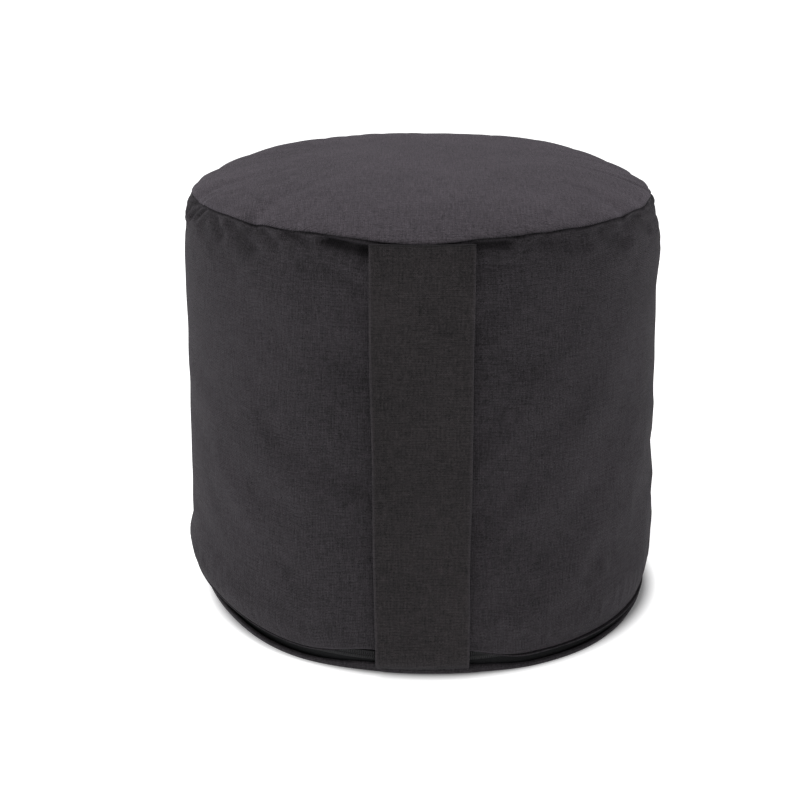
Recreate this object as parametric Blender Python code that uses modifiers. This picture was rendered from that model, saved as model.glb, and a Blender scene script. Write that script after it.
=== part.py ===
# Round floor pouf: a drum-shaped cover of cotton canvas with a carry strap and a zip round its foot,
# over an inner cushion of husks in a plain cotton liner. Metres, +Z up, origin at the middle of the
# underside, strap on the -Y side. Run it from Blender's text editor or with --background --python.

import math

import bmesh
import bpy
from mathutils import Vector

MM = 0.001

# Driving dimensions
FOOT_R = 185.0 * MM          # outer radius of the base panel's upturned band
BULGE_OUT = 4.5 * MM         # how far the wall bulges past the band, low down
BULGE_Z = 45.0 * MM          # height of that bulge
UPPER_IN = 1.0 * MM          # how far the upper wall stands inside the band
SHOULDER_Z = 290.0 * MM      # height where the wall starts to draw in
SEAM_IN = 8.5 * MM           # how far the seam round the top panel stands inside the band
SEAM_Z = 331.0 * MM          # height of that seam
CROWN = 26.0 * MM            # rise of the top panel above the seam
CANVAS = 1.2 * MM            # canvas, as it measures with its nap
ALLOWANCE = 12.0 * MM        # cloth turned in at the cover's seams
LINER = 0.8 * MM             # liner cloth
LINER_TURN = 8.0 * MM        # cloth turned in at the liner's seams
LINER_GAP = 1.1 * MM         # between the wall and the liner, room for the back seam
BAND_H = 9.0 * MM            # height of the base panel's upturned band
TAPE_SET = 3.0 * MM          # how far the zip's tape lies inside the band
CHAIN_LIFT = 7.0 * MM        # middle of the zip above the band
HEM_LIFT = 5.5 * MM          # lower edge of the wall above the middle of the zip
STRAP_W = 71.0 * MM          # width of the carry strap
STRAP_T = 2.2 * MM           # two layers of canvas
HAND_GAP = 5.6 * MM          # free room behind the strap at mid height
TAPE_T = 0.6 * MM            # zip tape
TAPE_H = 11.2 * MM           # one tape, from edge to edge
COIL_W = 2.8 * MM            # one coil, across the chain
COIL_T = 2.0 * MM            # one coil, through the chain
COIL_GAP = 1.6 * MM          # between the two coils, where the slider's web passes
SLIDER_L = 11.0 * MM         # along the chain
SLIDER_H = 9.4 * MM          # across the chain
PLATE_T = 0.9 * MM           # the slider's two plates
WEB_T = 0.8 * MM             # the web that joins them
BRIDGE_L = 7.8 * MM          # the slider's bridge, along the chain
BRIDGE_W = 2.2 * MM
BRIDGE_T = 0.7 * MM
PULL_L = 22.0 * MM
PULL_W = 5.8 * MM
PULL_T = 0.8 * MM
THREAD = 0.35 * MM           # radius of a row of stitches, made as one round cord
CLEAR = 0.3 * MM             # gap between pieces that lie against each other
STEPS = 40                   # sides of every turned piece
REAR = 90.0                  # angle of the back seam, from +X
ZIP_APART = 9.0              # degrees between the zip's two ends, at the rear
ZIP_STEP = 4.5               # degrees between the sides of the zip's pieces
STOP_L = 4.9 * MM            # a stop, along the zip
PIN_L = 11.6 * MM            # the pin and the box, along the zip
END_GAP = 0.8 * MM           # between a coil and its stop, pin or box

# Sizes that follow
FACET = math.cos(math.pi / STEPS)                # how far a flat side dips inside its circle
ZIP_FACET = math.cos(math.radians(ZIP_STEP / 2))
BULGE_R = FOOT_R + BULGE_OUT
UPPER_R = FOOT_R - UPPER_IN
SEAM_R = FOOT_R - SEAM_IN
CHAIN_Z = BAND_H + CHAIN_LIFT
HEM_Z = CHAIN_Z + HEM_LIFT
TAPE_R = FOOT_R - TAPE_SET                       # outer face of the tape
LIP_R = TAPE_R / FACET + CLEAR                   # edge of the cloth sewn to the tape
COIL_R = TAPE_R / ZIP_FACET + CLEAR + COIL_T     # outer face of the coils
CORE_R = TAPE_R - TAPE_T                         # inner face of the tape
ZIP_THREAD_R = CORE_R * ZIP_FACET - 0.2 * MM - THREAD   # stitches on the inner face of the tape
STRAP_R = max(BULGE_R + 0.5 * MM, UPPER_R + HAND_GAP)   # inner face of the strap
HINGE = (0.0, -(FOOT_R + 1.5 * MM), BAND_H + 1.0 * MM)  # where the base folds open, under the strap
ZIP_START = REAR + ZIP_APART / 2
ZIP_SWEEP = 360.0 - ZIP_APART
SLIDER_AT = ZIP_START + ZIP_STEP + math.degrees((SLIDER_L / 2 + CLEAR) / COIL_R)
PLATE_R = COIL_R + CLEAR + PLATE_T               # outer face of the slider's front plate
PULL_R = PLATE_R + PULL_T                        # axis that the pull turns on
LINER_SEAM_R = SEAM_R - ALLOWANCE - 1.5 * MM
LINER_SEAM_Z = SEAM_Z - CLEAR - CANVAS - 0.7 * MM
LINER_FOOT_R = CORE_R * ZIP_FACET - CLEAR - PLATE_T - 1.6 * MM

COLOURS = {
    "canvas": ((0.030, 0.028, 0.031, 1.0), 0.9, 0.0),
    "canvas_top": ((0.044, 0.041, 0.044, 1.0), 0.9, 0.0),
    "strap": ((0.028, 0.026, 0.028, 1.0), 0.88, 0.0),
    "tape": ((0.009, 0.010, 0.010, 1.0), 0.85, 0.0),
    "coil": ((0.006, 0.006, 0.007, 1.0), 0.4, 0.0),
    "slider_metal": ((0.020, 0.020, 0.022, 1.0), 0.35, 1.0),
    "thread": ((0.016, 0.016, 0.017, 1.0), 0.7, 0.0),
    "liner": ((0.62, 0.57, 0.47, 1.0), 0.9, 0.0),
    "liner_thread": ((0.70, 0.66, 0.56, 1.0), 0.8, 0.0),
    "husks": ((0.16, 0.10, 0.06, 1.0), 0.9, 0.0),
}


def clear_scene():
    for obj in list(bpy.data.objects):
        bpy.data.objects.remove(obj, do_unlink=True)


def collection(name):
    made = bpy.data.collections.new(name)
    bpy.context.scene.collection.children.link(made)
    return made


def material(name):
    found = bpy.data.materials.get(name)
    if found:
        return found
    colour, roughness, metallic = COLOURS[name]
    made = bpy.data.materials.new(name)
    made.use_nodes = True
    shader = made.node_tree.nodes["Principled BSDF"]
    shader.inputs["Base Color"].default_value = colour
    shader.inputs["Roughness"].default_value = roughness
    shader.inputs["Metallic"].default_value = metallic
    made.diffuse_color = colour
    return made


def follow(obj, parent):
    if parent:
        obj.parent = parent
        obj.matrix_parent_inverse = parent.matrix_world.inverted()


def add(name, mesh, finish, parent):
    obj = bpy.data.objects.new(name, mesh)
    parts.objects.link(obj)
    mesh.materials.append(material(finish))
    follow(obj, parent)
    return obj


def pivot(name, place, parent):
    empty = bpy.data.objects.new(name, None)
    parts.objects.link(empty)
    empty.location = place
    follow(empty, parent)
    bpy.context.view_layer.update()
    return empty


def turned(name, profile, finish, parent, ring=False):
    # A profile of (radius, height) points turned about Z. It runs out, down its outer side and back.
    mesh = bpy.data.meshes.new(name)
    edges = [(i, i + 1) for i in range(len(profile) - 1)]
    if ring:
        edges.append((len(profile) - 1, 0))
    mesh.from_pydata([(r, 0.0, z) for r, z in profile], edges, [])
    obj = add(name, mesh, finish, parent)
    screw = obj.modifiers.new("Turn", "SCREW")
    screw.steps = screw.render_steps = STEPS
    screw.use_merge_vertices = True
    screw.merge_threshold = 0.00001
    screw.use_smooth_shade = True
    return obj


def swept(name, low, high, start, sweep, finish, parent):
    # A rectangle of (radius, height) corners spun part of the way round Z, with both ends filled.
    bm = bmesh.new()
    at = math.radians(start)
    outline = [(high[0], high[1]), (high[0], low[1]), (low[0], low[1]), (low[0], high[1])]
    corners = [bm.verts.new((r * math.cos(at), r * math.sin(at), z)) for r, z in outline]
    face = bm.faces.new(corners)
    steps = max(1, round(sweep / ZIP_STEP))
    bmesh.ops.spin(
        bm, geom=[face] + list(face.edges) + corners, cent=(0, 0, 0), axis=(0, 0, 1),
        angle=math.radians(sweep), steps=steps, use_duplicate=False)
    bmesh.ops.remove_doubles(bm, verts=bm.verts, dist=0.000001)
    bmesh.ops.recalc_face_normals(bm, faces=bm.faces)
    mesh = bpy.data.meshes.new(name)
    bm.to_mesh(mesh)
    bm.free()
    return add(name, mesh, finish, parent)


def extruded(name, outline, along, finish, parent):
    # A flat outline pushed along a vector, starting half of it back.
    bm = bmesh.new()
    half = [part / 2 for part in along]
    corners = [bm.verts.new([point[i] - half[i] for i in range(3)]) for point in outline]
    face = bm.faces.new(corners)
    made = bmesh.ops.extrude_face_region(bm, geom=[face])["geom"]
    moved = [item for item in made if isinstance(item, bmesh.types.BMVert)]
    bmesh.ops.translate(bm, verts=moved, vec=along)
    bmesh.ops.recalc_face_normals(bm, faces=bm.faces)
    mesh = bpy.data.meshes.new(name)
    bm.to_mesh(mesh)
    bm.free()
    return add(name, mesh, finish, parent)


def seam_thread(name, radius, height, finish, parent):
    bpy.ops.mesh.primitive_torus_add(
        major_segments=STEPS, minor_segments=4, major_radius=radius, minor_radius=THREAD,
        location=(0, 0, height))
    obj = bpy.context.object
    for held in obj.users_collection:
        held.objects.unlink(obj)
    parts.objects.link(obj)
    obj.name = obj.data.name = name
    obj.data.materials.append(material(finish))
    follow(obj, parent)
    return obj


def boolean(target, tool, operation):
    join = target.modifiers.new(operation.title(), "BOOLEAN")
    join.operation = operation
    join.solver = "EXACT"
    join.object = tool
    tool.hide_render = True
    tool.display_type = "WIRE"
    parts.objects.unlink(tool)
    cutters.objects.link(tool)


def wall_radius(height):
    # Outer radius of the wall: widest at the bulge, nearly straight above it, then drawn in to the seam.
    if height <= BULGE_Z:
        return BULGE_R - 2.0 * MM * ((BULGE_Z - height) / (BULGE_Z - HEM_Z)) ** 2
    if height <= SHOULDER_Z:
        part = (height - BULGE_Z) / (SHOULDER_Z - BULGE_Z)
        return BULGE_R + (UPPER_R - BULGE_R) * math.sin(part * math.pi / 2)
    part = (height - SHOULDER_Z) / (SEAM_Z - SHOULDER_Z)
    return UPPER_R - (UPPER_R - SEAM_R) * part ** 2.4


def crown(share, rise):
    # Rise of a top at a share of its radius: nearly flat in the middle, steep close to the seam.
    return rise * (1.0 - share ** 2.6) ** 0.75


def wall_levels(top):
    # Heights at which the wall and what lies inside it have a corner, from the top down.
    draw = SEAM_Z - SHOULDER_Z
    straight = SHOULDER_Z - BULGE_Z
    return [top, SEAM_Z - 0.16 * draw, SEAM_Z - 0.45 * draw, SHOULDER_Z,
            BULGE_Z + 0.68 * straight, BULGE_Z + 0.34 * straight, BULGE_Z]


def base_panel():
    lip_low = BAND_H - CANVAS
    inner = [(0.0, CANVAS), (FOOT_R - 4.4 * MM, CANVAS), (FOOT_R - 2.0 * MM, CANVAS + 0.2 * BAND_H),
             (FOOT_R - CANVAS, BAND_H - 3.5 * MM), (FOOT_R - CANVAS - 0.4 * MM, lip_low), (LIP_R, lip_low)]
    outer = [(LIP_R, BAND_H), (FOOT_R - 0.8 * MM, BAND_H), (FOOT_R, BAND_H - 1.6 * MM),
             (FOOT_R, BAND_H - 5.0 * MM), (FOOT_R - 1.0 * MM, 1.7 * MM), (FOOT_R - 3.8 * MM, 0.0), (0.0, 0.0)]
    turned("base_panel", inner + outer, "canvas", None)
    seam_thread("base_seam_thread", ZIP_THREAD_R, BAND_H - CANVAS / 2, "thread", None)


def side_panel(cover):
    # The top edge turns in under the top panel and the bottom edge turns in to the zip's tape.
    levels = wall_levels(SEAM_Z - CLEAR)
    low = 0.5 * (BULGE_Z + HEM_Z)
    hem = wall_radius(HEM_Z)
    outer = [(wall_radius(z), z) for z in levels + [low]]
    turn = [(hem - 0.3 * MM, HEM_Z + 1.4 * MM), (hem - 2.0 * MM, HEM_Z), (LIP_R, HEM_Z),
            (LIP_R, HEM_Z + CANVAS), (hem - 2.4 * MM, HEM_Z + CANVAS)]
    inner = [(wall_radius(z) - CANVAS, z) for z in [low] + levels[:0:-1]]
    corner = wall_radius(SEAM_Z - CLEAR - CANVAS) - CANVAS
    top = [(corner, SEAM_Z - CLEAR - CANVAS), (SEAM_R - ALLOWANCE, SEAM_Z - CLEAR - CANVAS),
           (SEAM_R - ALLOWANCE, SEAM_Z - CLEAR)]
    turned("side_panel", outer + turn + inner + top, "canvas", cover, ring=True)
    seam_thread("hem_thread", ZIP_THREAD_R, HEM_Z + CANVAS / 2, "thread", cover)


def top_panel(cover):
    shares = [0.0, 0.35, 0.6, 0.78, 0.9, 0.96]
    outer = [(s * SEAM_R, SEAM_Z + crown(s, CROWN)) for s in shares] + [(SEAM_R, SEAM_Z)]
    turn = [(SEAM_R - ALLOWANCE, SEAM_Z), (SEAM_R - ALLOWANCE, SEAM_Z + CANVAS),
            (SEAM_R - 2.6 * MM, SEAM_Z + CANVAS)]
    inner_r = SEAM_R - CANVAS
    inner = [(s * inner_r, SEAM_Z + crown(s, CROWN) - CANVAS) for s in reversed(shares)]
    turned("top_panel", outer + turn + inner, "canvas_top", cover)
    seam_thread("top_seam_thread", SEAM_R - 0.7 * ALLOWANCE, SEAM_Z + CANVAS + CLEAR + THREAD, "thread", cover)


def back_seam(cover):
    # The row of stitches that closes the wall into a drum, lying on its inner face at the rear.
    levels = wall_levels(SEAM_Z - 4.0 * MM)
    curve = bpy.data.curves.new("back_seam_thread", "CURVE")
    curve.dimensions = "3D"
    curve.bevel_depth = THREAD
    curve.bevel_resolution = 1
    curve.use_fill_caps = True
    line = curve.splines.new("POLY")
    line.points.add(len(levels) - 1)
    away = CANVAS + 0.2 * MM + THREAD
    for point, z in zip(line.points, levels):
        point.co = (0.0, wall_radius(z) - away, z, 1.0)
    return add("back_seam_thread", curve, "thread", cover)


def carry_strap(joint):
    # Sewn in at the top seam and at the base seam, and clear of the wall between them.
    low = BAND_H + 0.8 * MM
    high = SEAM_Z - CLEAR
    face = [(wall_radius(high) + CLEAR, high), (wall_radius(high - 8 * MM) + 0.8 * MM, high - 8 * MM),
            (wall_radius(high - 22 * MM) + 3.4 * MM, high - 22 * MM), (STRAP_R, SHOULDER_Z - 5 * MM),
            (STRAP_R, low)]
    back = [(r + STRAP_T, z) for r, z in face]
    back[0] = (face[0][0] + STRAP_T, high - 0.6 * MM)
    outline = [(0.0, -r, z) for r, z in face] + [(0.0, -r, z) for r, z in reversed(back)]
    extruded("carry_strap", outline, (STRAP_W, 0.0, 0.0), "strap", joint)


def zip_half(side, up, holder):
    # One tape and its coil; up is 1 above the middle of the zip and -1 below it.
    near = CHAIN_Z + up * COIL_GAP / 2
    edge = CHAIN_Z + up * (COIL_GAP / 2 + TAPE_H)
    far = CHAIN_Z + up * (COIL_GAP / 2 + COIL_W)
    inner = TAPE_R / ZIP_FACET + CLEAR
    swept("zip_tape_" + side, (CORE_R, min(near, edge)), (TAPE_R, max(near, edge)),
          ZIP_START, ZIP_SWEEP, "tape", holder)
    swept("zip_coil_" + side, (inner, min(near, far)), (COIL_R, max(near, far)),
          ZIP_START + ZIP_STEP, ZIP_SWEEP - 2 * ZIP_STEP, "coil", holder)
    gap, stop, pin = (math.degrees(length / COIL_R) for length in (END_GAP, STOP_L, PIN_L))
    swept("zip_stop_" + side, (inner, min(near, far)), (COIL_R, max(near, far)),
          ZIP_START + ZIP_STEP - gap - stop, stop, "slider_metal", holder)
    last = "zip_pin" if up > 0 else "zip_box"
    swept(last, (inner, min(near, far)), (COIL_R, max(near, far)),
          ZIP_START + ZIP_SWEEP - ZIP_STEP + gap, pin, "slider_metal", holder)


def zip_slider(track):
    # Two plates joined by a web that runs between the coils, and a bridge that holds the pull.
    along = Vector((-math.sin(math.radians(SLIDER_AT)), math.cos(math.radians(SLIDER_AT)), 0.0))
    out = Vector((math.cos(math.radians(SLIDER_AT)), math.sin(math.radians(SLIDER_AT)), 0.0))
    up = Vector((0.0, 0.0, 1.0))

    def place(s, r, z):
        return along * s + out * r + up * (CHAIN_Z + z)

    front_in = PLATE_R - PLATE_T
    back_out = CORE_R * ZIP_FACET - CLEAR - 0.1 * MM
    half, web = SLIDER_H / 2, WEB_T / 2
    beam = [(PLATE_R, half), (PLATE_R, -half), (front_in, -half), (front_in, -web), (back_out, -web),
            (back_out, -half), (back_out - PLATE_T, -half), (back_out - PLATE_T, half), (back_out, half),
            (back_out, web), (front_in, web), (front_in, half)]
    body = extruded("zip_slider", [place(0, r, z) for r, z in beam], along * SLIDER_L, "slider_metal", track)
    reach, rise = BRIDGE_L / 2, PULL_R + 0.8 * MM
    sunk = PLATE_R - PLATE_T / 2
    staple = [(-reach, sunk), (-reach, rise + BRIDGE_T), (reach, rise + BRIDGE_T), (reach, sunk),
              (reach - 0.9 * MM, sunk), (reach - 0.9 * MM, rise), (-reach + 0.9 * MM, rise),
              (-reach + 0.9 * MM, sunk)]
    bridge = extruded("bridge", [place(s, r, 0) for s, r in staple], up * BRIDGE_W, "slider_metal", track)
    boolean(body, bridge, "UNION")
    # The pull is a flat tab; its eye goes round the bridge and its end bar turns under it.
    hinge = pivot("pull_axis", out * PULL_R + up * CHAIN_Z, track)
    bar = 0.9 * MM
    tab = [place(s, PULL_R, z) for s, z in (
        (-bar / 2, -PULL_W / 2), (PULL_L - 2 * MM, -PULL_W / 2), (PULL_L, -PULL_W / 2 + 2 * MM),
        (PULL_L, PULL_W / 2 - 2 * MM), (PULL_L - 2 * MM, PULL_W / 2), (-bar / 2, PULL_W / 2))]
    pull = extruded("zip_pull", tab, out * PULL_T, "slider_metal", hinge)
    eye_w, eye_l = BRIDGE_W / 2 + 0.4 * MM, BRIDGE_L / 2 + 1.0 * MM
    eye = [place(s, PULL_R, z) for s, z in (
        (bar / 2, -eye_w), (eye_l, -eye_w), (eye_l, eye_w), (bar / 2, eye_w))]
    boolean(pull, extruded("eye", eye, out * 4 * PULL_T, "slider_metal", hinge), "DIFFERENCE")


def inner_cushion(cover):
    levels = wall_levels(SEAM_Z - 0.16 * (SEAM_Z - SHOULDER_Z))[1:]
    inset = CANVAS + LINER_GAP
    draw_in = HEM_Z + 7.0 * MM
    floor = CANVAS + CLEAR
    top_z, top_r = LINER_SEAM_Z, LINER_SEAM_R
    rise = SEAM_Z + CROWN - CANVAS - CLEAR - top_z
    shares = [0.0, 0.35, 0.6, 0.78, 0.9]
    dome = [(s * top_r, top_z + crown(s, rise)) for s in shares]
    hollow = [(s * (top_r - LINER), top_z + crown(s, rise) - LINER) for s in shares]
    turned("liner_top_panel", dome + [(top_r, top_z), (top_r - LINER_TURN, top_z),
           (top_r - LINER_TURN, top_z + LINER), (top_r - 1.8 * MM, top_z + LINER)] + hollow[::-1],
           "liner", cover)

    side_top = top_z - CLEAR
    side_low = floor + LINER + CLEAR
    outer = [(top_r, side_top), (top_r + 4 * MM, side_top)] + [(wall_radius(z) - inset, z) for z in levels]
    outer += [(wall_radius(HEM_Z) - inset, HEM_Z + 14 * MM), (LINER_FOOT_R, draw_in),
              (LINER_FOOT_R, floor + 7 * MM), (LINER_FOOT_R - 1.5 * MM, side_low)]
    turn = [(LINER_FOOT_R - 1.5 * MM - LINER_TURN, side_low),
            (LINER_FOOT_R - 1.5 * MM - LINER_TURN, side_low + LINER), (LINER_FOOT_R - 2.2 * MM, side_low + LINER)]
    inner = [(r - LINER, z) for r, z in outer[2:-1]][::-1]
    lid = [(top_r + 4 * MM, side_top - LINER), (top_r - LINER_TURN, side_top - LINER),
           (top_r - LINER_TURN, side_top)]
    turned("liner_side_panel", outer + turn + inner + lid, "liner", cover, ring=True)

    foot = LINER_FOOT_R - 1.5 * MM
    turned("liner_base_panel", [(0.0, floor + LINER), (foot, floor + LINER), (foot, floor), (0.0, floor)],
           "liner", cover)
    top_row = side_top - LINER - CLEAR - THREAD
    low_row = side_low + LINER + CLEAR + THREAD
    seam_thread("liner_top_thread", top_r - LINER_TURN / 2, top_row, "liner_thread", cover)
    seam_thread("liner_base_thread", foot - LINER_TURN / 2, low_row, "liner_thread", cover)

    # The husks fill the liner, clear of its cloth and of its two rows of stitches.
    packed_r = top_r - LINER_TURN - 0.6 * MM
    packed_rise = rise - LINER - CLEAR
    heap = [(s * packed_r, top_z + crown(s, packed_rise)) for s in shares]
    under = top_row - THREAD - CLEAR
    body = [(packed_r, under), (top_r + 3 * MM, under)]
    body += [(r - LINER - CLEAR, z) for r, z in outer[2:-1]]
    over = low_row + THREAD + CLEAR
    body += [(foot - 2 * MM, over), (foot - LINER_TURN - 0.6 * MM, over),
             (foot - LINER_TURN - 0.6 * MM, floor + LINER + CLEAR), (0.0, floor + LINER + CLEAR)]
    turned("filling", heap + body, "husks", cover)


def main():
    cover = pivot("base_flap_axis", HINGE, None)
    base_panel()
    side_panel(cover)
    top_panel(cover)
    back_seam(cover)
    inner_cushion(cover)
    zip_half("upper", 1, cover)
    zip_half("lower", -1, None)
    carry_strap(pivot("strap_slide", (0.0, -STRAP_R, (SEAM_Z + BAND_H) / 2), cover))
    zip_slider(pivot("slider_track", (0.0, 0.0, CHAIN_Z), None))


clear_scene()
parts = collection("floor_pouf")
cutters = collection("cutters")
main()
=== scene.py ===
# Round floor pouf: canvas cover with a carry strap, a zip round its foot and an inner cushion of husks.
# Run it in Blender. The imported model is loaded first, and every piece is built round it, in metres.

import math

import bmesh
import bpy
import numpy as np
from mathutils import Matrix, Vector


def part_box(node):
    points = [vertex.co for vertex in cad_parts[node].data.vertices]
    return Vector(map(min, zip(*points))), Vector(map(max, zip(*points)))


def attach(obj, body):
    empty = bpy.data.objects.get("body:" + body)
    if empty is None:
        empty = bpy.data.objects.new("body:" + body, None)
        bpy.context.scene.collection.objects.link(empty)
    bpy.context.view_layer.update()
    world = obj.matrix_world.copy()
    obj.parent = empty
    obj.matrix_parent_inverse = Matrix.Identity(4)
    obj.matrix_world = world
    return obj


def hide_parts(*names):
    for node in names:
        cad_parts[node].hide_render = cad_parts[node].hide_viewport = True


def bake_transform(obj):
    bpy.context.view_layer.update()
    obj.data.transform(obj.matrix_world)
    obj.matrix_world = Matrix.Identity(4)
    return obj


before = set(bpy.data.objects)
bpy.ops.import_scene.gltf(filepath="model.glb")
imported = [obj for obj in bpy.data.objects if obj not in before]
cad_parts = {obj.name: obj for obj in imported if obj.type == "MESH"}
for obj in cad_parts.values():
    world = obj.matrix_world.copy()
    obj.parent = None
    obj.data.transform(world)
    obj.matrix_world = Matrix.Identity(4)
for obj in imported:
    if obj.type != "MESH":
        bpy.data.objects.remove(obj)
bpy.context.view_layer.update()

mm = 0.001
turn = 2 * math.pi


def high(node):
    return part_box(node)[1]


def low(node):
    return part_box(node)[0]


# Sizes read from the frame.
seamZ = low("top_panel").z
seamR = high("top_panel").x
crownRise = high("top_panel").z - seamZ
hemZ = low("side_panel").z
bandTop = high("base_panel").z
footR = high("base_panel").x
tapeR = high("zip_tape_lower").x
coilR = high("zip_coil_lower").x
chainZ = 0.5 * (high("zip_coil_lower").z + low("zip_coil_upper").z)
strapHalf = high("carry_strap").x
linerTopR = high("liner_top_panel").x
linerTopZ = low("liner_top_panel").z
linerRise = high("liner_top_panel").z - linerTopZ
linerR = high("liner_side_panel").x
linerFootR = high("liner_base_panel").x + 1.5 * mm
linerFloor = low("liner_base_panel").z

body = {"bulgeZ": 45 * mm, "shoulderZ": 284 * mm, "upperR": 186.2 * mm, "footR": 189.6 * mm,
        "clothT": 1.2 * mm, "lean": 8.0 * mm, "leanFade": 12 * mm, "footRise": 17 * mm, "riseOut": 4.5 * mm}


def meshFromArrays(name, points, faces, uv=None, marks=None):
    # Points and faces as whole arrays; uv is one pair per face corner and marks is one number per point.
    mesh = bpy.data.meshes.new(name)
    mesh.from_pydata(points.reshape(-1, 3), [], faces.tolist() if isinstance(faces, np.ndarray) else faces)
    if uv is not None:
        layer = mesh.uv_layers.new(name="cloth")
        layer.data.foreach_set("uv", uv.astype(np.float32).ravel())
    for key, values in (marks or {}).items():
        mark = mesh.attributes.new(key, "FLOAT", "POINT")
        mark.data.foreach_set("value", values.astype(np.float32).ravel())
    mesh.polygons.foreach_set("use_smooth", np.ones(len(mesh.polygons), bool))
    mesh.update()
    obj = bpy.data.objects.new(name, mesh)
    bpy.context.scene.collection.objects.link(obj)
    return obj


def gridFaces(rows, cols, wrapCols=False, wrapRows=False):
    # Quads of a rows x cols grid; a wrapped side joins its last line to its first.
    i = np.arange(rows if wrapRows else rows - 1)[:, None]
    j = np.arange(cols if wrapCols else cols - 1)[None, :]
    ni, nj = (i + 1) % rows, (j + 1) % cols
    corners = [i * cols + j, i * cols + nj, ni * cols + nj, ni * cols + j]
    return np.stack([c + 0 * i + 0 * j for c in corners], -1).reshape(-1, 4)


def endCaps(rows, cols):
    # The two faces that fill the ends of a grid wrapped round its columns.
    return [list(range(cols)), [(rows - 1) * cols + k for k in range(cols)][::-1]]


def gridUv(rows, cols, u, v, wrapCols=False, wrapRows=False):
    # Texture lengths u (one per column line) and v (one per row line), both one longer than the faces.
    r = rows if wrapRows else rows - 1
    c = cols if wrapCols else cols - 1
    i, j = np.arange(r)[:, None], np.arange(c)[None, :]
    uu = [u[j + 0 * i], u[j + 1 + 0 * i], u[j + 1 + 0 * i], u[j + 0 * i]]
    vv = [v[i + 0 * j], v[i + 0 * j], v[i + 1 + 0 * j], v[i + 1 + 0 * j]]
    return np.stack([np.stack(uu, -1), np.stack(vv, -1)], -1).reshape(-1, 2)


def around(angle, radius, height):
    # Cylinder to place: angle 0 is the front (-Y), and it grows towards +X.
    return np.stack([radius * np.sin(angle), -radius * np.cos(angle), height + 0 * angle], -1)


def waves(angle, seed, counts, strength):
    # Smooth closed noise: a sum of cosines with whole numbers of waves round the ring and seeded phases.
    rng = np.random.default_rng(seed)
    total = np.zeros_like(angle)
    for count in counts:
        total += rng.uniform(0.5, 1.0) * np.cos(count * angle + rng.uniform(0, turn))
    return strength * total / math.sqrt(len(counts))


def smoothStep(x, start, end):
    t = np.clip((x - start) / (end - start), 0, 1)
    return t * t * (3 - 2 * t)


def hump(x, middle, width):
    return np.exp(-((x - middle) / width) ** 2)


def ringAngles(cols):
    return np.linspace(0, turn, cols, endpoint=False)


def wallRadius(z):
    # Widest at the bulge, nearly straight above it, then drawn in to the seam.
    under = np.clip(body["bulgeZ"] - z, 0, None) / (body["bulgeZ"] - hemZ)
    lowPart = body["footR"] - 2.2 * mm * under ** 2.6
    part = (z - body["bulgeZ"]) / (body["shoulderZ"] - body["bulgeZ"])
    middle = body["footR"] + (body["upperR"] - body["footR"]) * np.sin(np.clip(part, 0, 1) * math.pi / 2)
    draw = np.clip((z - body["shoulderZ"]) / (seamZ - body["shoulderZ"]), 0, 1)
    upper = body["upperR"] - (body["upperR"] - seam["radius"]) * draw ** 2.3
    return np.where(z <= body["bulgeZ"], lowPart, np.where(z <= body["shoulderZ"], middle, upper))


def turnedAway(angle):
    # Angle from the front, from -pi to pi.
    return np.arctan2(np.sin(angle), np.cos(angle))


def lean(points):
    # The foot has slid a little towards +X under the load, less so at the right edge. On the left its
    # edge is rounded up: the rise grows as a square with the distance from the flat, and dies out up the
    # wall. Nothing moves at the rear, where the zip ends.
    x, y, z = points[..., 0], points[..., 1], points[..., 2]
    away = -np.degrees(np.arctan2(x, -y))
    side = smoothStep(away, 30, 75) * (1 - smoothStep(away, 100, 142))
    reach = np.hypot(x, y)
    fromFlat = np.clip((reach - (footR - 25 * mm)) / (22 * mm), 0, 1) ** 2
    part = np.maximum(fromFlat, smoothStep(z, 2 * mm, 6 * mm)) * smoothStep(reach, 60 * mm, 150 * mm)
    part = part * (1 - smoothStep(z, 22 * mm, 110 * mm))
    moved = points.copy()
    moved[..., 2] += body["footRise"] * side * part
    slide = 1 - 0.8 * smoothStep(x, 40 * mm, 180 * mm) - 0.5 * smoothStep(-x, 70 * mm, 175 * mm)
    fade = np.exp(-np.clip(moved[..., 2], 0, None) / body["leanFade"])
    moved[..., 0] += body["lean"] * slide * (1 - smoothStep(y, 48 * mm, 160 * mm)) * fade
    outwards = side * smoothStep(z, 6 * mm, 14 * mm) * (1 - smoothStep(z, 20 * mm, 60 * mm))
    moved[..., :2] *= (1 + body["riseOut"] * outwards / footR)[..., None]
    return moved


seam = {"radius": seamR + 3.4 * mm, "drop": 4.4 * mm, "sides": 1.0 * mm, "rise": 0.9 * mm,
        "wander": 0.8 * mm, "seed": 11, "pinches": 40, "pinch": 3.8 * mm, "rearIn": 4.0 * mm,
        "farSides": 2.2 * mm}


def pinchPlaces():
    # Places where the sewn cloth is caught up, spaced at random and larger at the front left and the rear
    # right: angle, size, half width.
    rng = np.random.default_rng(seam["seed"] + 5)
    places = np.cumsum(rng.uniform(0.5, 1.5, seam["pinches"]))
    places = places / (places[-1] + 1) * turn
    size = rng.uniform(0.15, 1.0, seam["pinches"]) ** 1.3
    size = size * (0.55 + 0.45 * np.cos(places + math.radians(50)) ** 2)
    width = rng.uniform(0.020, 0.046, seam["pinches"])
    return places, size, width


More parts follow.
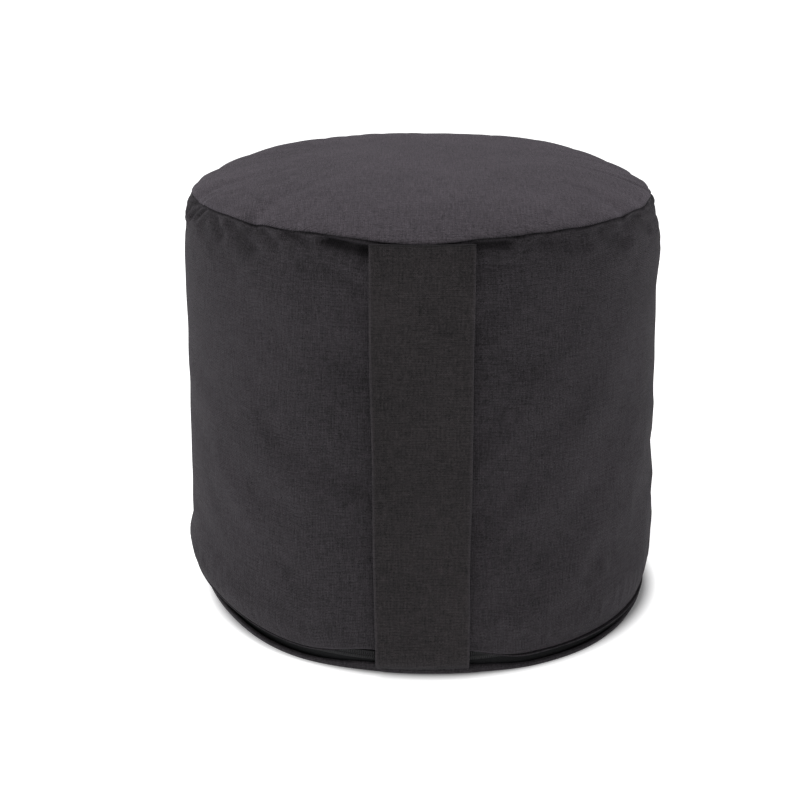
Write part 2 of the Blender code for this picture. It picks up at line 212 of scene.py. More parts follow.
def seamLine(angle):
    # Height and radius of the seam at an angle: it sags at the strap, wanders, and dips at each pinch.
    away = turnedAway(angle)
    atStrap = hump(away, math.radians(-1), math.radians(13))
    slow = waves(angle, seam["seed"], (2, 3, 5, 7), 0.6)
    short = waves(angle, seam["seed"] + 1, (13, 19, 23, 29), 0.6)
    steady = 1 - 0.85 * hump(away, 0, 0.24)
    side = np.sin(-away) * 0.8 + 0.6 * np.sin(away) ** 2
    height = seamZ + 0.6 * mm - seam["drop"] * atStrap + seam["sides"] * side
    height = height - seam["farSides"] * hump(np.abs(away), math.radians(104), math.radians(24))
    height = height + seam["rise"] * (slow + short) * steady
    uneven = waves(angle, seam["seed"] + 2, (3, 5, 17, 22), 0.7) * steady
    radius = seam["radius"] - seam["rearIn"] * (0.5 - 0.5 * np.cos(away)) + seam["wander"] * uneven
    for place, size, width in zip(*pinchPlaces()):
        near = hump(turnedAway(angle - place), 0, width)
        radius = radius - 0.55 * seam["pinch"] * size * near * steady
        height = height - 0.45 * seam["pinch"] * size * near * steady
    return height, radius


def puckers(angle, depth, seed, reach):
    # Folds that start at the seam's pinches, widen and die away with distance, each one slanted a little.
    rng = np.random.default_rng(seed)
    total = np.zeros_like(angle)
    for start, size, width in zip(*pinchPlaces()):
        slant = rng.uniform(-1, 1) * 0.055 / (20 * mm)
        length = reach * rng.uniform(0.6, 1.5)
        middle = start + slant * depth
        spread = width * (1 + 0.9 * depth / reach)
        away = turnedAway(angle - middle)
        fold = np.exp(-(away / spread) ** 2) - 0.45 * np.exp(-((np.abs(away) - 2.0 * spread) / spread) ** 2)
        total += size * fold * np.exp(-(depth / length) ** 1.3)
    return total


wall = {"cols": 540, "seed": 4, "pucker": 1.5 * mm, "puckerReach": 13 * mm, "uneven": 1.1 * mm,
        "turnIn": 7 * mm, "lip": 0.12 * mm, "rollIn": 2.9 * mm, "sideHem": 11.2 * mm,
        "sideHemTilt": 3.2 * mm, "backSeam": 1.3 * mm}

# Hollows pulled in by the sewing. Each runs from one place to another: degrees from the front, mm under
# the seam, twice; then its half width and its depth in mm.
hollows = [(-21.0, 5, -12.0, 8, 4.6, 8.0), (-12.6, 8, -12.3, 17, 4.0, 2.2), (11.8, 4, 18.5, 5, 4.2, 5.5),
           (-31.0, 3, -25.0, 9, 4.5, 2.4), (-38.0, 5, -34.0, 12, 4.5, 2.2),
           (-49.0, 6, -41.0, 17, 6.0, 2.5), (-57.0, 4, -53.0, 15, 4.5, 2.6),
           (-62.0, 0, -67.0, 10, 2.6, 2.8), (-67.0, 1, -73.0, 13, 2.8, 3.0),
           (-72.0, 1, -79.0, 15, 3.0, 2.8), (27.0, 6, 37.0, 11, 6.0, 1.3), (45.0, 7, 52.0, 19, 7.0, 2.3),
           (60.0, 5, 68.0, 18, 6.5, 2.5), (76.0, 3, 86.0, 20, 6.0, 2.4), (106.0, 4, 96.0, 18, 6.5, 2.6),
           (-92.0, 4, -101.0, 20, 6.0, 2.6), (-124.0, 5, -116.0, 17, 6.5, 2.0),
           (133.0, 5, 143.0, 15, 6.0, 2.2), (160.0, 4, 169.0, 17, 6.0, 2.4),
           (-159.0, 4, -170.0, 16, 6.0, 2.6), (-141.0, 3, -147.0, 22, 5.0, 1.8),
           (120.0, 3, 115.0, 12, 5.0, 1.6)]


def hollowDepth(angle, depth):
    # Sum over the hollows of a bell across the distance to each one's line, with a low rim beside it.
    total = np.zeros_like(angle)
    for fromA, fromD, toA, toD, half, deep in hollows:
        arc = turnedAway(angle - math.radians(fromA)) * seam["radius"]
        lineA, lineD = math.radians(toA - fromA) * seam["radius"], (toD - fromD) * mm
        part = np.clip((arc * lineA + (depth - fromD * mm) * lineD) / (lineA ** 2 + lineD ** 2), 0, 1)
        far = np.hypot(arc - part * lineA, depth - fromD * mm - part * lineD) / (half * mm)
        total += deep * mm * (np.exp(-far ** 2) - 0.16 * np.exp(-((far - 2.2) / 0.9) ** 2))
    return total


def nearFront(angle):
    # 1 beside the strap and at the rear, where the zip shows whole; 0 where the wall sags over it.
    away = turnedAway(angle)
    left, right = math.radians(-30), math.radians(25)
    front = smoothStep(away, left, math.radians(-12)) * (1 - smoothStep(away, math.radians(7), right))
    return np.maximum(front, smoothStep(np.abs(away), math.radians(138), math.radians(158)))


def hemLine(angle):
    # Height of the wall's lower edge: just over the zip at the strap and the rear, hanging lower between.
    away = turnedAway(angle)
    wander = 0.5 * mm * waves(angle, 21, (6, 9, 13), 0.8)
    sagged = wall["sideHem"] - wall["sideHemTilt"] * np.sin(away) + wander
    openPart = nearFront(angle)
    return sagged + (hemZ + 0.3 * mm * waves(angle, 24, (8, 15), 0.8) - sagged) * openPart


def seamAngles(cols):
    # Even steps round the drum, with extra lines close to the back seam.
    fine = np.array([-5.0, -3.8, -2.2, -1.5, -0.9, -0.4, 0.4, 0.9, 1.5, 2.2, 3.8, 5.0]) * mm
    return np.sort(np.concatenate([ringAngles(cols), math.pi + fine / body["upperR"]]))


def buildWall():
    # Rows run down the cloth: turned in at the seam, over the shoulder, down the drum, and in to the zip.
    lines = seamAngles(wall["cols"])
    cols = len(lines)
    fine = np.concatenate([[0, 0.35, 0.8, 1.4], 1.4 + np.cumsum(np.linspace(0.9, 2.0, 16)),
                           1.4 + 23.2 + np.cumsum(np.linspace(2.2, 5.0, 8))]) * mm
    tall = seamZ - hemZ
    atHem = np.array([11.0, 8.6, 6.6, 4.9, 3.5, 2.3, 1.4, 0.7, 0.25, 0.0]) * mm
    share = np.concatenate([fine / tall, np.linspace(fine[-1] / tall + 0.018, 0.955, 42), 1 - atHem / tall])
    angle = lines[None, :] + np.zeros((len(share), 1))
    seamHeight, seamRadius = seamLine(angle)
    share = share[:, None]
    height = seamHeight * (1 - share) + hemLine(angle) * share - 0.5 * mm * np.exp(-share * 300)
    depth = seamHeight - height
    radius = wallRadius(seamZ - depth * tall / (seamHeight - hemLine(angle)))
    radius = np.where(height < 60 * mm, wallRadius(height), radius)
    radius = radius + (seamRadius - seam["radius"]) * np.exp(-depth / (16 * mm))
    near = 1 - 0.9 * hump(turnedAway(angle), 0, 0.19)
    folds = puckers(angle, depth, wall["seed"], wall["puckerReach"])
    radius = radius - wall["pucker"] * folds * near * smoothStep(depth, -1 * mm, 5 * mm)
    radius = radius - hollowDepth(angle, depth) * smoothStep(depth, 0, 5 * mm)
    swell = waves(angle + 2.0 * share, 31, (2, 3, 5), 0.6) * np.sin(math.pi * share)
    swell = swell + waves(angle - 5.0 * share, 32, (4, 6, 9), 0.35) * np.sin(math.pi * share) ** 0.5
    radius = radius + wall["uneven"] * (swell - 0.3)
    # The cloth rolls in at the seam with a fine raised lip, and under at the hem.
    radius = radius - wall["rollIn"] * np.exp(-(depth / (1.5 * mm)) ** 1.2)
    radius = radius + wall["lip"] * hump(depth, 3.4 * mm, 1.5 * mm)
    fromHem = height - hemLine(angle)
    radius = radius - 1.5 * mm * np.clip(1 - fromHem / (2.2 * mm), 0, 1) ** 2.5
    radius = radius + 0.45 * mm * waves(angle, 22, (9, 14, 21), 0.7) * np.exp(-fromHem / (14 * mm))
    behind = turnedAway(angle - math.pi) * body["upperR"]
    radius = radius - wall["backSeam"] * hump(behind, 0, 0.9 * mm)
    radius = radius + 0.35 * mm * hump(np.abs(behind), 2.6 * mm, 1.6 * mm)
    radius, height = settle(radius, height, angle, depth)
    inner = np.linspace(1, 0, 5)[:-1, None]
    allowR = radius[:1] - wall["turnIn"] * inner
    allowZ = height[:1] - 0.5 * mm * inner
    hemIn = np.linspace(0, 1, 5)[1:, None]
    inside = np.where(hemLine(angle[:1]) > hemZ - 1.2 * mm, tapeR + 1.4 * mm, coilR + 0.25 * mm)
    hemR = radius[-1:] * (1 - hemIn) + inside * hemIn
    hemZs = height[-1:] + 0.35 * mm * hemIn
    radius = np.vstack([allowR, radius, hemR])
    height = np.vstack([allowZ, height, hemZs])
    rows = len(radius)
    points = lean(around(lines[None, :] + np.zeros((rows, 1)), radius, height))
    profile = np.stack([radius.mean(1), height.mean(1)], -1)
    v = np.concatenate([[0], np.cumsum(np.linalg.norm(np.diff(profile, axis=0), axis=1))])
    u = np.append(lines, turn) * body["upperR"]
    # Paler marks on the seam's lip, the hem's fold and the ridges beside the back seam: partly rubbed wear,
    # partly painted highlight where these folds catch the light.
    edge = np.zeros((rows, cols))
    edge[4:4 + len(share)] = hump(depth, 2.6 * mm, 1.2 * mm) * 0.2 + hump(fromHem, 0.7 * mm, 0.9 * mm) * 0.8
    edge[4:4 + len(share)] += 0.5 * hump(np.abs(behind), 2.4 * mm, 1.0 * mm)
    # Painted shade: darker in the pucker folds, along the crease just under the seam, in the hollows and in
    # the back seam's groove, where shade falls.
    paintedShade = np.zeros((rows, cols))
    paintedShade[4:4 + len(share)] = np.clip(folds, 0, 1) * 0.25 + np.exp(-(depth / (1.3 * mm)) ** 1.5)
    paintedShade[4:4 + len(share)] += np.clip(hollowDepth(angle, depth), 0, None) / (9 * mm)
    paintedShade[4:4 + len(share)] += hump(behind, 0, 0.8 * mm)
    obj = meshFromArrays("cover_wall", points, gridFaces(rows, cols, True)[:, ::-1],
                         gridUv(rows, cols, u, v, True).reshape(-1, 4, 2)[:, ::-1].reshape(-1, 2),
                         {"edge": edge, "paintedShade": np.clip(paintedShade, 0, 1)})
    thicken(obj, 0.9 * mm)
    return obj


settling = {"frames": 20, "pressure": 4.0, "slack": 0.015, "bending": 0.8, "cap": 1.8 * mm}


def settle(radius, height, angle, depth):
    # Lets the cloth of the wall find its own small wrinkles: cut a little too large, held at the seam,
    # the hem and the strap, and blown out from inside. It runs on every second line of the grid. Only
    # waves shorter than a sixth of the way round are kept, so the drum's outline stays, and no point
    # moves past the cap.
    pickR = np.unique(np.append(np.arange(0, radius.shape[0], 2), radius.shape[0] - 1))
    pickC = np.arange(0, radius.shape[1], 2)
    small = np.ix_(pickR, pickC)
    start, startHeight = radius[small], height[small]
    rows, cols = start.shape
    obj = meshFromArrays("settling", around(angle[small], start, startHeight),
                         gridFaces(rows, cols, True)[:, ::-1])
    held = obj.vertex_groups.new(name="held")
    deep = depth[small]
    grip = np.clip(np.exp(-deep / (3 * mm)) + smoothStep(deep, deep.max() - 30 * mm, deep.max() - 12 * mm)
                   + 0.35 * hump(turnedAway(angle[small]), 0, 0.17), 0, 1).ravel()
    levels = np.round(grip * 20) / 20
    for level in np.unique(levels[levels > 0]):
        held.add(np.nonzero(levels == level)[0].tolist(), float(level), "REPLACE")
    cloth = obj.modifiers.new("Cloth", "CLOTH")
    for key, value in {"quality": 5, "mass": 0.25, "tension_stiffness": 25, "compression_stiffness": 25,
                       "shear_stiffness": 8, "bending_stiffness": settling["bending"],
                       "vertex_group_mass": "held", "shrink_min": -settling["slack"],
                       "use_pressure": True, "uniform_pressure_force": settling["pressure"]}.items():
        setattr(cloth.settings, key, value)
    cloth.settings.effector_weights.gravity = 0
    stage = bpy.context.scene
    for frameNo in range(1, settling["frames"] + 1):
        stage.frame_set(frameNo)
    done = obj.evaluated_get(bpy.context.evaluated_depsgraph_get()).to_mesh()
    moved = np.empty(len(done.vertices) * 3)
    done.vertices.foreach_get("co", moved)
    stage.frame_set(1)
    bpy.data.objects.remove(obj)
    moved = moved.reshape(rows, cols, 3)
    change = np.hypot(moved[..., 0], moved[..., 1]) - start
    turns = np.fft.rfft(change, axis=1)
    turns[:, :6] = 0
    change = np.fft.irfft(turns, cols, axis=1)
    change = settling["cap"] * np.tanh(change / settling["cap"])
    print("settled", round(float(np.abs(change).max() * 1000), 2), "mm at most,",
          round(float(change.std() * 1000), 2), "mm usual")
    ringPlaces = np.append(pickC, radius.shape[1])
    change = np.hstack([change, change[:, :1]])
    wide = np.array([np.interp(np.arange(radius.shape[1]), ringPlaces, line) for line in change])
    full = np.array([np.interp(np.arange(radius.shape[0]), pickR, line) for line in wide.T]).T
    return radius + full, height


def thicken(obj, depth):
    # Gives a sheet its thickness on the inner side, so the outer face stays where it was.
    solid = obj.modifiers.new("Thickness", "SOLIDIFY")
    solid.thickness = depth
    solid.offset = -1
    solid.use_even_offset = False


top = {"rings": 84, "dent": 1.7 * mm, "pucker": 0.7 * mm, "puckerReach": 9 * mm, "lip": 0.15 * mm}


def buildTop():
    # Rings run from the middle out over the crown and in under the seam; the middle is one closed fan.
    lines = seamAngles(wall["cols"])
    cols = len(lines)
    share = (np.sin(np.linspace(0, math.pi / 2, top["rings"])) ** 0.9)[1:, None]
    share[-1] = 1.0
    angle = lines[None, :] + 0 * share
    seamHeight, seamRadius = seamLine(angle)
    radius = share * seamRadius
    rear = smoothStep(np.abs(turnedAway(angle)), math.radians(95), math.radians(132))
    rear = rear * smoothStep(share, 0.2, 0.6)
    crown = (1 - share ** (2.75 + 0.75 * rear)) ** (0.74 - 0.15 * rear)
    height = seamHeight * share ** 4 + seamZ * (1 - share ** 4) + (crownRise - 0.8 * mm) * crown
    x, y = radius * np.sin(angle), -radius * np.cos(angle)
    dents = 0.9 * np.sin(x * 21 + 0.6) * np.cos(y * 17 - 0.9) + 0.6 * np.sin(x * 37 - y * 29 + 2.1)
    dents = dents + 0.5 * np.cos(x * 12 + y * 44 + 0.4) + 0.35 * np.sin(x * 61 + y * 23)
    height = height + top["dent"] * (dents - 0.7) * (1 - share ** 3) * 0.5
    depth = (1 - share) * seam["radius"]
    folds = puckers(angle, depth, wall["seed"] + 9, top["puckerReach"])
    height = height - top["pucker"] * folds * smoothStep(depth, -1 * mm, 4 * mm)
    height = height - 0.7 * mm * np.exp(-depth / (0.9 * mm)) + 0.2 * mm
    height = height + top["lip"] * hump(depth, 2.2 * mm, 1.2 * mm)
    inner = np.linspace(0, 1, 5)[1:, None]
    allowed = len(inner)
    radius = np.vstack([radius, radius[-1:] - 7 * mm * inner])
    height = np.vstack([height, height[-1:] - 0.1 * mm * inner])
    rows = len(radius)
    ring = around(lines[None, :] + np.zeros((rows, 1)), radius, height).reshape(-1, 3)
    points = np.vstack([ring, [[0, 0, height[0].mean()]]])
    quads = gridFaces(rows, cols, True)[:, ::-1]
    j = np.arange(cols)
    fan = np.stack([(j + 1) % cols, j, np.full(cols, rows * cols)], -1)[:, ::-1]
    flat = np.concatenate([quads.ravel(), fan.ravel()])
    # A flat cloth lies on the crown, so its threads run straight across: the map is the plan of the panel.
    # Paler marks on the rolled lip beside the seam, partly wear and partly painted highlight; painted shade
    # in the seam's crease and in the folds.
    edge = np.zeros((rows, cols))
    edge[:-allowed] = hump(depth, 1.5 * mm, 1.0 * mm) * 0.35
    paintedShade = np.zeros((rows, cols))
    paintedShade[:-allowed] = 0.9 * np.exp(-depth / (0.5 * mm)) + 0.2 * np.clip(folds, 0, 1)
    obj = meshFromArrays("cover_top", points, quads.tolist() + fan.tolist(), points[flat][:, :2],
                         {"edge": np.append(edge.ravel(), 0.0),
                          "paintedShade": np.append(np.clip(paintedShade, 0, 1).ravel(), 0.0)})
    thicken(obj, 0.9 * mm)
    return obj


base = {"cols": 540, "ripple": 0.4 * mm, "sideTop": 5.2 * mm, "sideIn": 1.6 * mm, "beside": 3.2 * mm,
        "frontIn": 3.5 * mm, "rightIn": 1.5 * mm}


def buildBase():
    # A shallow dish: flat underside, a soft corner, and an upturned band that turns in to the zip.
    cloth = 1.1 * mm
    corner = np.linspace(0, math.pi / 2, 9)
    out = [(footR - 6.0 * mm + 6.0 * mm * math.sin(a), 4.2 * mm - 4.2 * mm * math.cos(a)) for a in corner]
    up = [(footR + 0.25 * mm * math.sin(t * math.pi), 4.2 * mm + (bandTop - 5.2 * mm) * t)
          for t in np.linspace(0.2, 1, 5)]
    lip = [(footR - 0.4 * mm, bandTop - 0.35 * mm), (footR - 1.2 * mm, bandTop),
           (tapeR + 0.9 * mm, bandTop)]
    inside = [(tapeR + 0.9 * mm, bandTop - cloth), (footR - 1.9 * mm, bandTop - cloth - 0.3 * mm),
              (footR - cloth, 4.6 * mm), (footR - 6.0 * mm, cloth)]
    flatR = np.append(np.linspace(2 * mm, footR - 34 * mm, 9),
                      np.linspace(footR - 31 * mm, footR - 9 * mm, 12))
    flat = [(r, cloth) for r in flatR[::-1]]
    under = [(r, 0.0) for r in flatR]
    profile = np.array(under + out + up + lip + inside + flat)

    def shift(angle, radius, height):
        away = turnedAway(angle)
        band = smoothStep(height, 0.5 * mm, 5 * mm) * smoothStep(radius, tapeR - 3 * mm, footR)
        wave = waves(angle, 41, (6, 9, 13, 22), 0.8) * base["ripple"]
        atStrap = smoothStep(away, -0.205, -0.185) - smoothStep(away, 0.185, 0.205)
        over = 1.6 * mm * atStrap * smoothStep(radius, tapeR + 1.2 * mm, footR - 0.6 * mm)
        openPart = nearFront(angle)
        lift = 0.5 * mm * waves(angle, 42, (11, 17, 23), 0.8) * smoothStep(height, 4 * mm, 8 * mm)
        sideTop = base["sideTop"] - 1.8 * mm * np.sin(away)
        lower = (sideTop + (bandTop - sideTop) * openPart) / bandTop
        toRight = smoothStep(away, math.radians(40), math.radians(70))
        beside = hump(np.abs(away), math.radians(38), math.radians(24))
        tuck = (base["sideIn"] + base["rightIn"] * toRight) * (1 - openPart) + 1.4 * mm * openPart
        tuck = (tuck - base["beside"] * beside) * smoothStep(radius, tapeR - 20 * mm, footR)
        rim = (1 - smoothStep(height, 0, 3 * mm)) * smoothStep(radius, footR - 13 * mm, footR - 2 * mm)
        tuck = tuck + base["frontIn"] * hump(away, 0, math.radians(26)) * rim
        lowered = height * np.where(radius > tapeR, lower, 1.0) + lift * openPart
        return radius + band * (wave + over) - tuck, lowered

    cols = base["cols"]
    rows = len(profile)
    angle = ringAngles(cols)[None, :] + np.zeros((rows, 1))
    radius, height = shift(angle, profile[:, :1] + 0 * angle, profile[:, 1:] + 0 * angle)
    ring = around(angle, radius, height).reshape(-1, 3)
    points = lean(np.vstack([ring, [[0, 0, 0.0], [0, 0, cloth]]]))
    quads = gridFaces(rows, cols, True)
    j = np.arange(cols)
    bottom = np.stack([j, (j + 1) % cols, np.full(cols, rows * cols)], -1)[:, ::-1]
    last = (rows - 1) * cols
    lid = np.stack([last + (j + 1) % cols, last + j, np.full(cols, rows * cols + 1)], -1)[:, ::-1]
    faces = quads.tolist() + bottom.tolist() + lid.tolist()
    flatIds = np.concatenate([quads.ravel(), bottom.ravel(), lid.ravel()])
    place = points[flatIds]
    rimLength = np.arctan2(place[:, 0], -place[:, 1]) * footR
    onBand = (place[:, 2] > 1.5 * mm) & (np.hypot(place[:, 0], place[:, 1]) > footR - 5.5 * mm)
    uv = np.where(onBand[:, None], np.stack([rimLength, place[:, 2]], -1), place[:, :2])
    return meshFromArrays("cover_base", points, faces, uv)


strap = {"thick": 2.0 * mm, "bead": 0.08 * mm, "slack": 1.6 * mm, "drape": 0.55, "rows": 130, "across": 60,
         "lowEnd": 7.6 * mm, "widen": 1.9 * mm}


def strapLine(z):
    # Distance of the strap's inner face from the axis: on the shoulder, slack along the drum, and pulled in
    # to the seam at either end.
    share = np.clip((z - bandTop) / (seamZ - bandTop), 0, 1)
    slack = strap["slack"] * np.sin(math.pi * share) ** 1.5
    onWall = wallRadius(np.maximum(z, body["bulgeZ"])) + 0.9 * mm + slack
    tuckTop = 2.6 * mm * np.exp(-np.clip(strapTop - z, 0, None) / (2.6 * mm))
    tuckLow = 6.2 * mm * np.exp(-np.clip(z - strap["lowEnd"], 0, None) / (4.6 * mm))
    return onWall - tuckTop - tuckLow


strapTop = float(seamLine(np.zeros(1))[0][0]) - 0.5 * mm


def buildStrap(name, zFrom, zTo):
    # A flat rounded loop (two layers folded at both edges) carried up the strap's line.
    rows = strap["rows"]
    z = np.linspace(zFrom, zTo, rows)
    n = strap["across"]
    side = np.linspace(-1, 1, n)
    endArc = np.linspace(-math.pi / 2, math.pi / 2, 9)[1:-1]
    half = strap["thick"] / 2
    across = np.concatenate([side, 1 + 0 * endArc, side[::-1], -1 + 0 * endArc])
    push = np.concatenate([0 * side, np.cos(endArc), 0 * side, -np.cos(endArc)])
    depth = np.concatenate([-1 + 0 * side, np.sin(endArc), 1 + 0 * side, -np.sin(endArc)])
    bead = strap["bead"] * hump(np.abs(across), 0.965, 0.022) * (depth > 0)
    share = (z - strap["lowEnd"]) / (strapTop - strap["lowEnd"])
    width = (strapHalf - half + strap["widen"] * (smoothStep(share, 0.0, 1.0) - 0.5))[:, None]
    x = across[None, :] * width + push[None, :] * half + 0.3 * mm * np.sin(z * 43 + 0.5)[:, None]
    ripple = 0.3 * mm * np.sin(z * 57 + 1.0)[:, None] * np.cos(across * 2.1 + z[:, None] * 19)
    centre = strapLine(z)[:, None] + half + ripple
    backward = strap["drape"] * x ** 2 / (2 * body["upperR"])
    r = centre - backward + depth[None, :] * (half + bead[None, :])
    points = np.stack([x, -r, z[:, None] + 0 * x], -1)
    cols = points.shape[1]
    caps = endCaps(rows, cols)
    quads = gridFaces(rows, cols, True)
    u = np.append(x[rows // 2], x[rows // 2, 0])
    uv = np.vstack([gridUv(rows, cols, u, z, True), np.zeros((2 * cols, 2))])
    # Paler lines along the folded edges of the outer face, partly wear and partly painted highlight;
    # painted shade at both ends, where the strap is sewn into the seams.
    edge = hump(np.abs(across), 0.988, 0.012)[None, :] * (depth > -0.5)[None, :] + 0 * x
    fromTop, fromFoot = strapTop - z, z - strap["lowEnd"] - 2 * mm
    paintedShade = (np.exp(-fromTop / (1.5 * mm)) + np.exp(-fromFoot / (1.5 * mm)))[:, None]
    obj = meshFromArrays(name, points, quads.tolist() + caps, uv,
                         {"edge": edge, "paintedShade": np.clip(paintedShade + 0 * x, 0, 1)})
    crispRims(obj, rows, cols)
    return obj


def crispRims(obj, rows, cols):
    # Keeps the light from rounding over the filled ends: the edges round both ends are marked sharp.
    pairs = np.empty(len(obj.data.edges) * 2, int)
    obj.data.edges.foreach_get("vertices", pairs)
    pairs = pairs.reshape(-1, 2)
    first, final = (pairs < cols).all(1), (pairs >= (rows - 1) * cols).all(1)
    obj.data.attributes.new("sharp_edge", "BOOLEAN", "EDGE").data.foreach_set("value", first | final)


zipper = {"pitch": 1.45 * mm, "wire": 0.36 * mm, "teethW": 1.85 * mm, "teethT": 0.72 * mm, "gapDeg": 9.0,
          "tapeGap": 0.12}


def buildTape(name, zLow, zHigh):
    # A thin woven band that runs round the foot, flat in section.
    rows = np.array([(tapeR - 0.6 * mm, zLow), (tapeR - 0.6 * mm, zHigh), (tapeR, zHigh), (tapeR, zLow)])
    profile = []
    for a, b in zip(rows, np.roll(rows, -1, 0)):
        steps = np.linspace(0, 1, 9)[:-1] if abs(a[1] - b[1]) > 1 * mm else (0, 0.5)
        profile += [a + (b - a) * t for t in steps]
    return arcPiece(name, np.array(profile)[::-1], zipper["tapeGap"] / 2, 360 - zipper["tapeGap"] / 2, 480)


def arcPiece(name, profile, fromRear, toRear, steps):
    # A closed profile carried round the axis between two angles from the rear, with both ends filled.
    angle = (math.pi + np.radians(np.linspace(fromRear, toRear, steps)))[:, None]
    radius, height = profile[None, :, 0] + 0 * angle, profile[None, :, 1] + 0 * angle
    points = lean(around(angle + 0 * radius, radius, height))
    cols = len(profile)
    quads = gridFaces(steps, cols, True)
    caps = endCaps(steps, cols)
    step = np.linalg.norm(np.diff(np.vstack([profile, profile[:1]]), axis=0), axis=1)
    v = np.concatenate([[0], np.cumsum(step)])
    u = angle[:, 0] * tapeR
    uv = np.vstack([gridUv(steps, cols, v, u, True)[:, ::-1], np.zeros((2 * cols, 2))])
    return meshFromArrays(name, points, quads.tolist() + caps, uv)


def buildCoil(name, side):
    # One nylon coil: a helix wound round an oval, carried round the foot, as a thin closed tube.
    startDeg, endDeg = zipper["gapDeg"] / 2 + 4.6, 360 - zipper["gapDeg"] / 2 - 4.8
    length = math.radians(endDeg - startDeg) * coilR
    turns = int(length / zipper["pitch"])
    perTurn, sides = 10, 5
    t = np.linspace(0, turns, turns * perTurn + 1)
    phase = t * turn + (math.pi if side < 0 else 0)
    ringAngle = math.pi + math.radians(startDeg) + t / turns * math.radians(endDeg - startDeg)
    middleZ = chainZ + side * (zipper["teethW"] - 0.15 * mm)
    middleR = coilR - 1.05 * mm
    wide = np.sign(np.cos(phase)) * np.abs(np.cos(phase)) ** 0.7
    deep = np.sin(phase)
    z = middleZ - side * zipper["teethW"] * wide
    r = middleR + zipper["teethT"] * deep
    path = lean(around(ringAngle, r, z))
    return tubePiece(name, path, zipper["wire"], sides)


def tubePiece(name, path, radius, sides):
    # A round tube along a path: the section turns with the path's own direction, and both ends are filled.
    tangent = np.gradient(path, axis=0)
    tangent /= np.linalg.norm(tangent, axis=1, keepdims=True)
    outward = path * np.array([1, 1, 0])
    outward /= np.linalg.norm(outward, axis=1, keepdims=True)
    first = np.cross(tangent, outward)
    first /= np.maximum(np.linalg.norm(first, axis=1, keepdims=True), 1e-9)
    second = np.cross(tangent, first)
    a = ringAngles(sides)
    section = np.cos(a)[None, :, None] * first[:, None] + np.sin(a)[None, :, None] * second[:, None]
    points = path[:, None] + radius * section
    rows = len(path)
    caps = [list(range(sides))[::-1], [(rows - 1) * sides + k for k in range(sides)]]
    quads = gridFaces(rows, sides, True)
    return meshFromArrays(name, points, quads.tolist() + caps)


def outwardNormals(obj):
    # Turns any face that points inwards, after close points are merged.
    bm = bmesh.new()
    bm.from_mesh(obj.data)
    bmesh.ops.remove_doubles(bm, verts=bm.verts, dist=1e-7)
    bmesh.ops.recalc_face_normals(bm, faces=bm.faces)
    bm.to_mesh(obj.data)
    bm.free()
    return obj


liner = {"cols": 360, "cloth": 0.8 * mm, "lump": 1.5 * mm, "pucker": 1.0 * mm, "seed": 51}


def buildLinerWall():
    # The inner bag's wall: under the cover's wall, drawn in over the foot, and pushed out by the grain.
    cols = liner["cols"]
    inset = body["clothT"] + 4.6 * mm
    z = np.concatenate([np.linspace(linerTopZ - 1.0 * mm, seamZ - 6.5 * mm, 3),
                        np.linspace(seamZ - 9 * mm, 40 * mm, 46),
                        np.linspace(36 * mm, 7 * mm, 10), [4.2 * mm, 2.9 * mm]])[:, None]
    angle = ringAngles(cols)[None, :] + 0 * z
    radius = np.minimum(wallRadius(np.clip(z, hemZ, seamZ)) - inset, linerR)
    foot = linerFootR - 0.8 * mm
    radius = radius + (foot - radius) * (1 - smoothStep(z, 29 * mm, 37 * mm))
    radius = radius - 6.0 * mm * smoothStep(z, seamZ - 46 * mm, seamZ - 12 * mm)
    radius = np.minimum(radius, foot + 20 * mm * smoothStep(z, 27 * mm, 36 * mm))
    radius[:2] = np.array([[linerTopR - 1.5 * mm], [linerTopR + 1.2 * mm]])
    radius[-1] = foot - 2.6 * mm
    lumps = waves(angle + 3 * z / seamZ, 61, (9, 14, 21, 33), 0.5) * np.cos(z * 71 + 2 * np.sin(angle * 7))
    creases = puckers(angle, np.clip(z - 4 * mm, 0, None), liner["seed"], 16 * mm)
    radius = radius - liner["lump"] * (0.5 + 0.5 * lumps) * smoothStep(z, 5 * mm, 60 * mm)
    radius = radius - liner["pucker"] * creases * smoothStep(z, 2 * mm, 8 * mm)
    points = lean(around(angle, radius, z + 0 * angle))
    u = np.linspace(0, turn * linerR, cols + 1)
    faces = gridFaces(len(z), cols, True)[:, ::-1]
    uv = gridUv(len(z), cols, u, z[:, 0], True).reshape(-1, 4, 2)[:, ::-1].reshape(-1, 2)
    obj = meshFromArrays("liner_wall", points, faces, uv)
    thicken(obj, liner["cloth"] * 0.75)
    return obj


def discPiece(name, radius, heightOf, rings, cols, lookUp):
    # A round sheet: rings from the rim to a closed middle, each point's height given by its place.
    share = np.sin(np.linspace(math.pi / 2, 0, rings)[:-1])[:, None]
    angle = ringAngles(cols)[None, :] + 0 * share
    r = share * radius
    x, y = r * np.sin(angle), -r * np.cos(angle)
    z = heightOf(x, y, share + 0 * angle)
    ring = np.stack([x, y, z], -1).reshape(-1, 3)
    middle = heightOf(np.zeros(1), np.zeros(1), np.zeros(1))
    points = lean(np.vstack([ring, [[0, 0, float(middle[0])]]]))
    quads = gridFaces(rings - 1, cols, True)
    j = np.arange(cols)
    last = (rings - 2) * cols
    fan = np.stack([last + j, last + (j + 1) % cols, np.full(cols, (rings - 1) * cols)], -1)
    if not lookUp:
        quads, fan = quads[:, ::-1], fan[:, ::-1]
    flatIds = np.concatenate([quads.ravel(), fan.ravel()])
    return meshFromArrays(name, points, quads.tolist() + fan.tolist(), points[flatIds][:, :2])


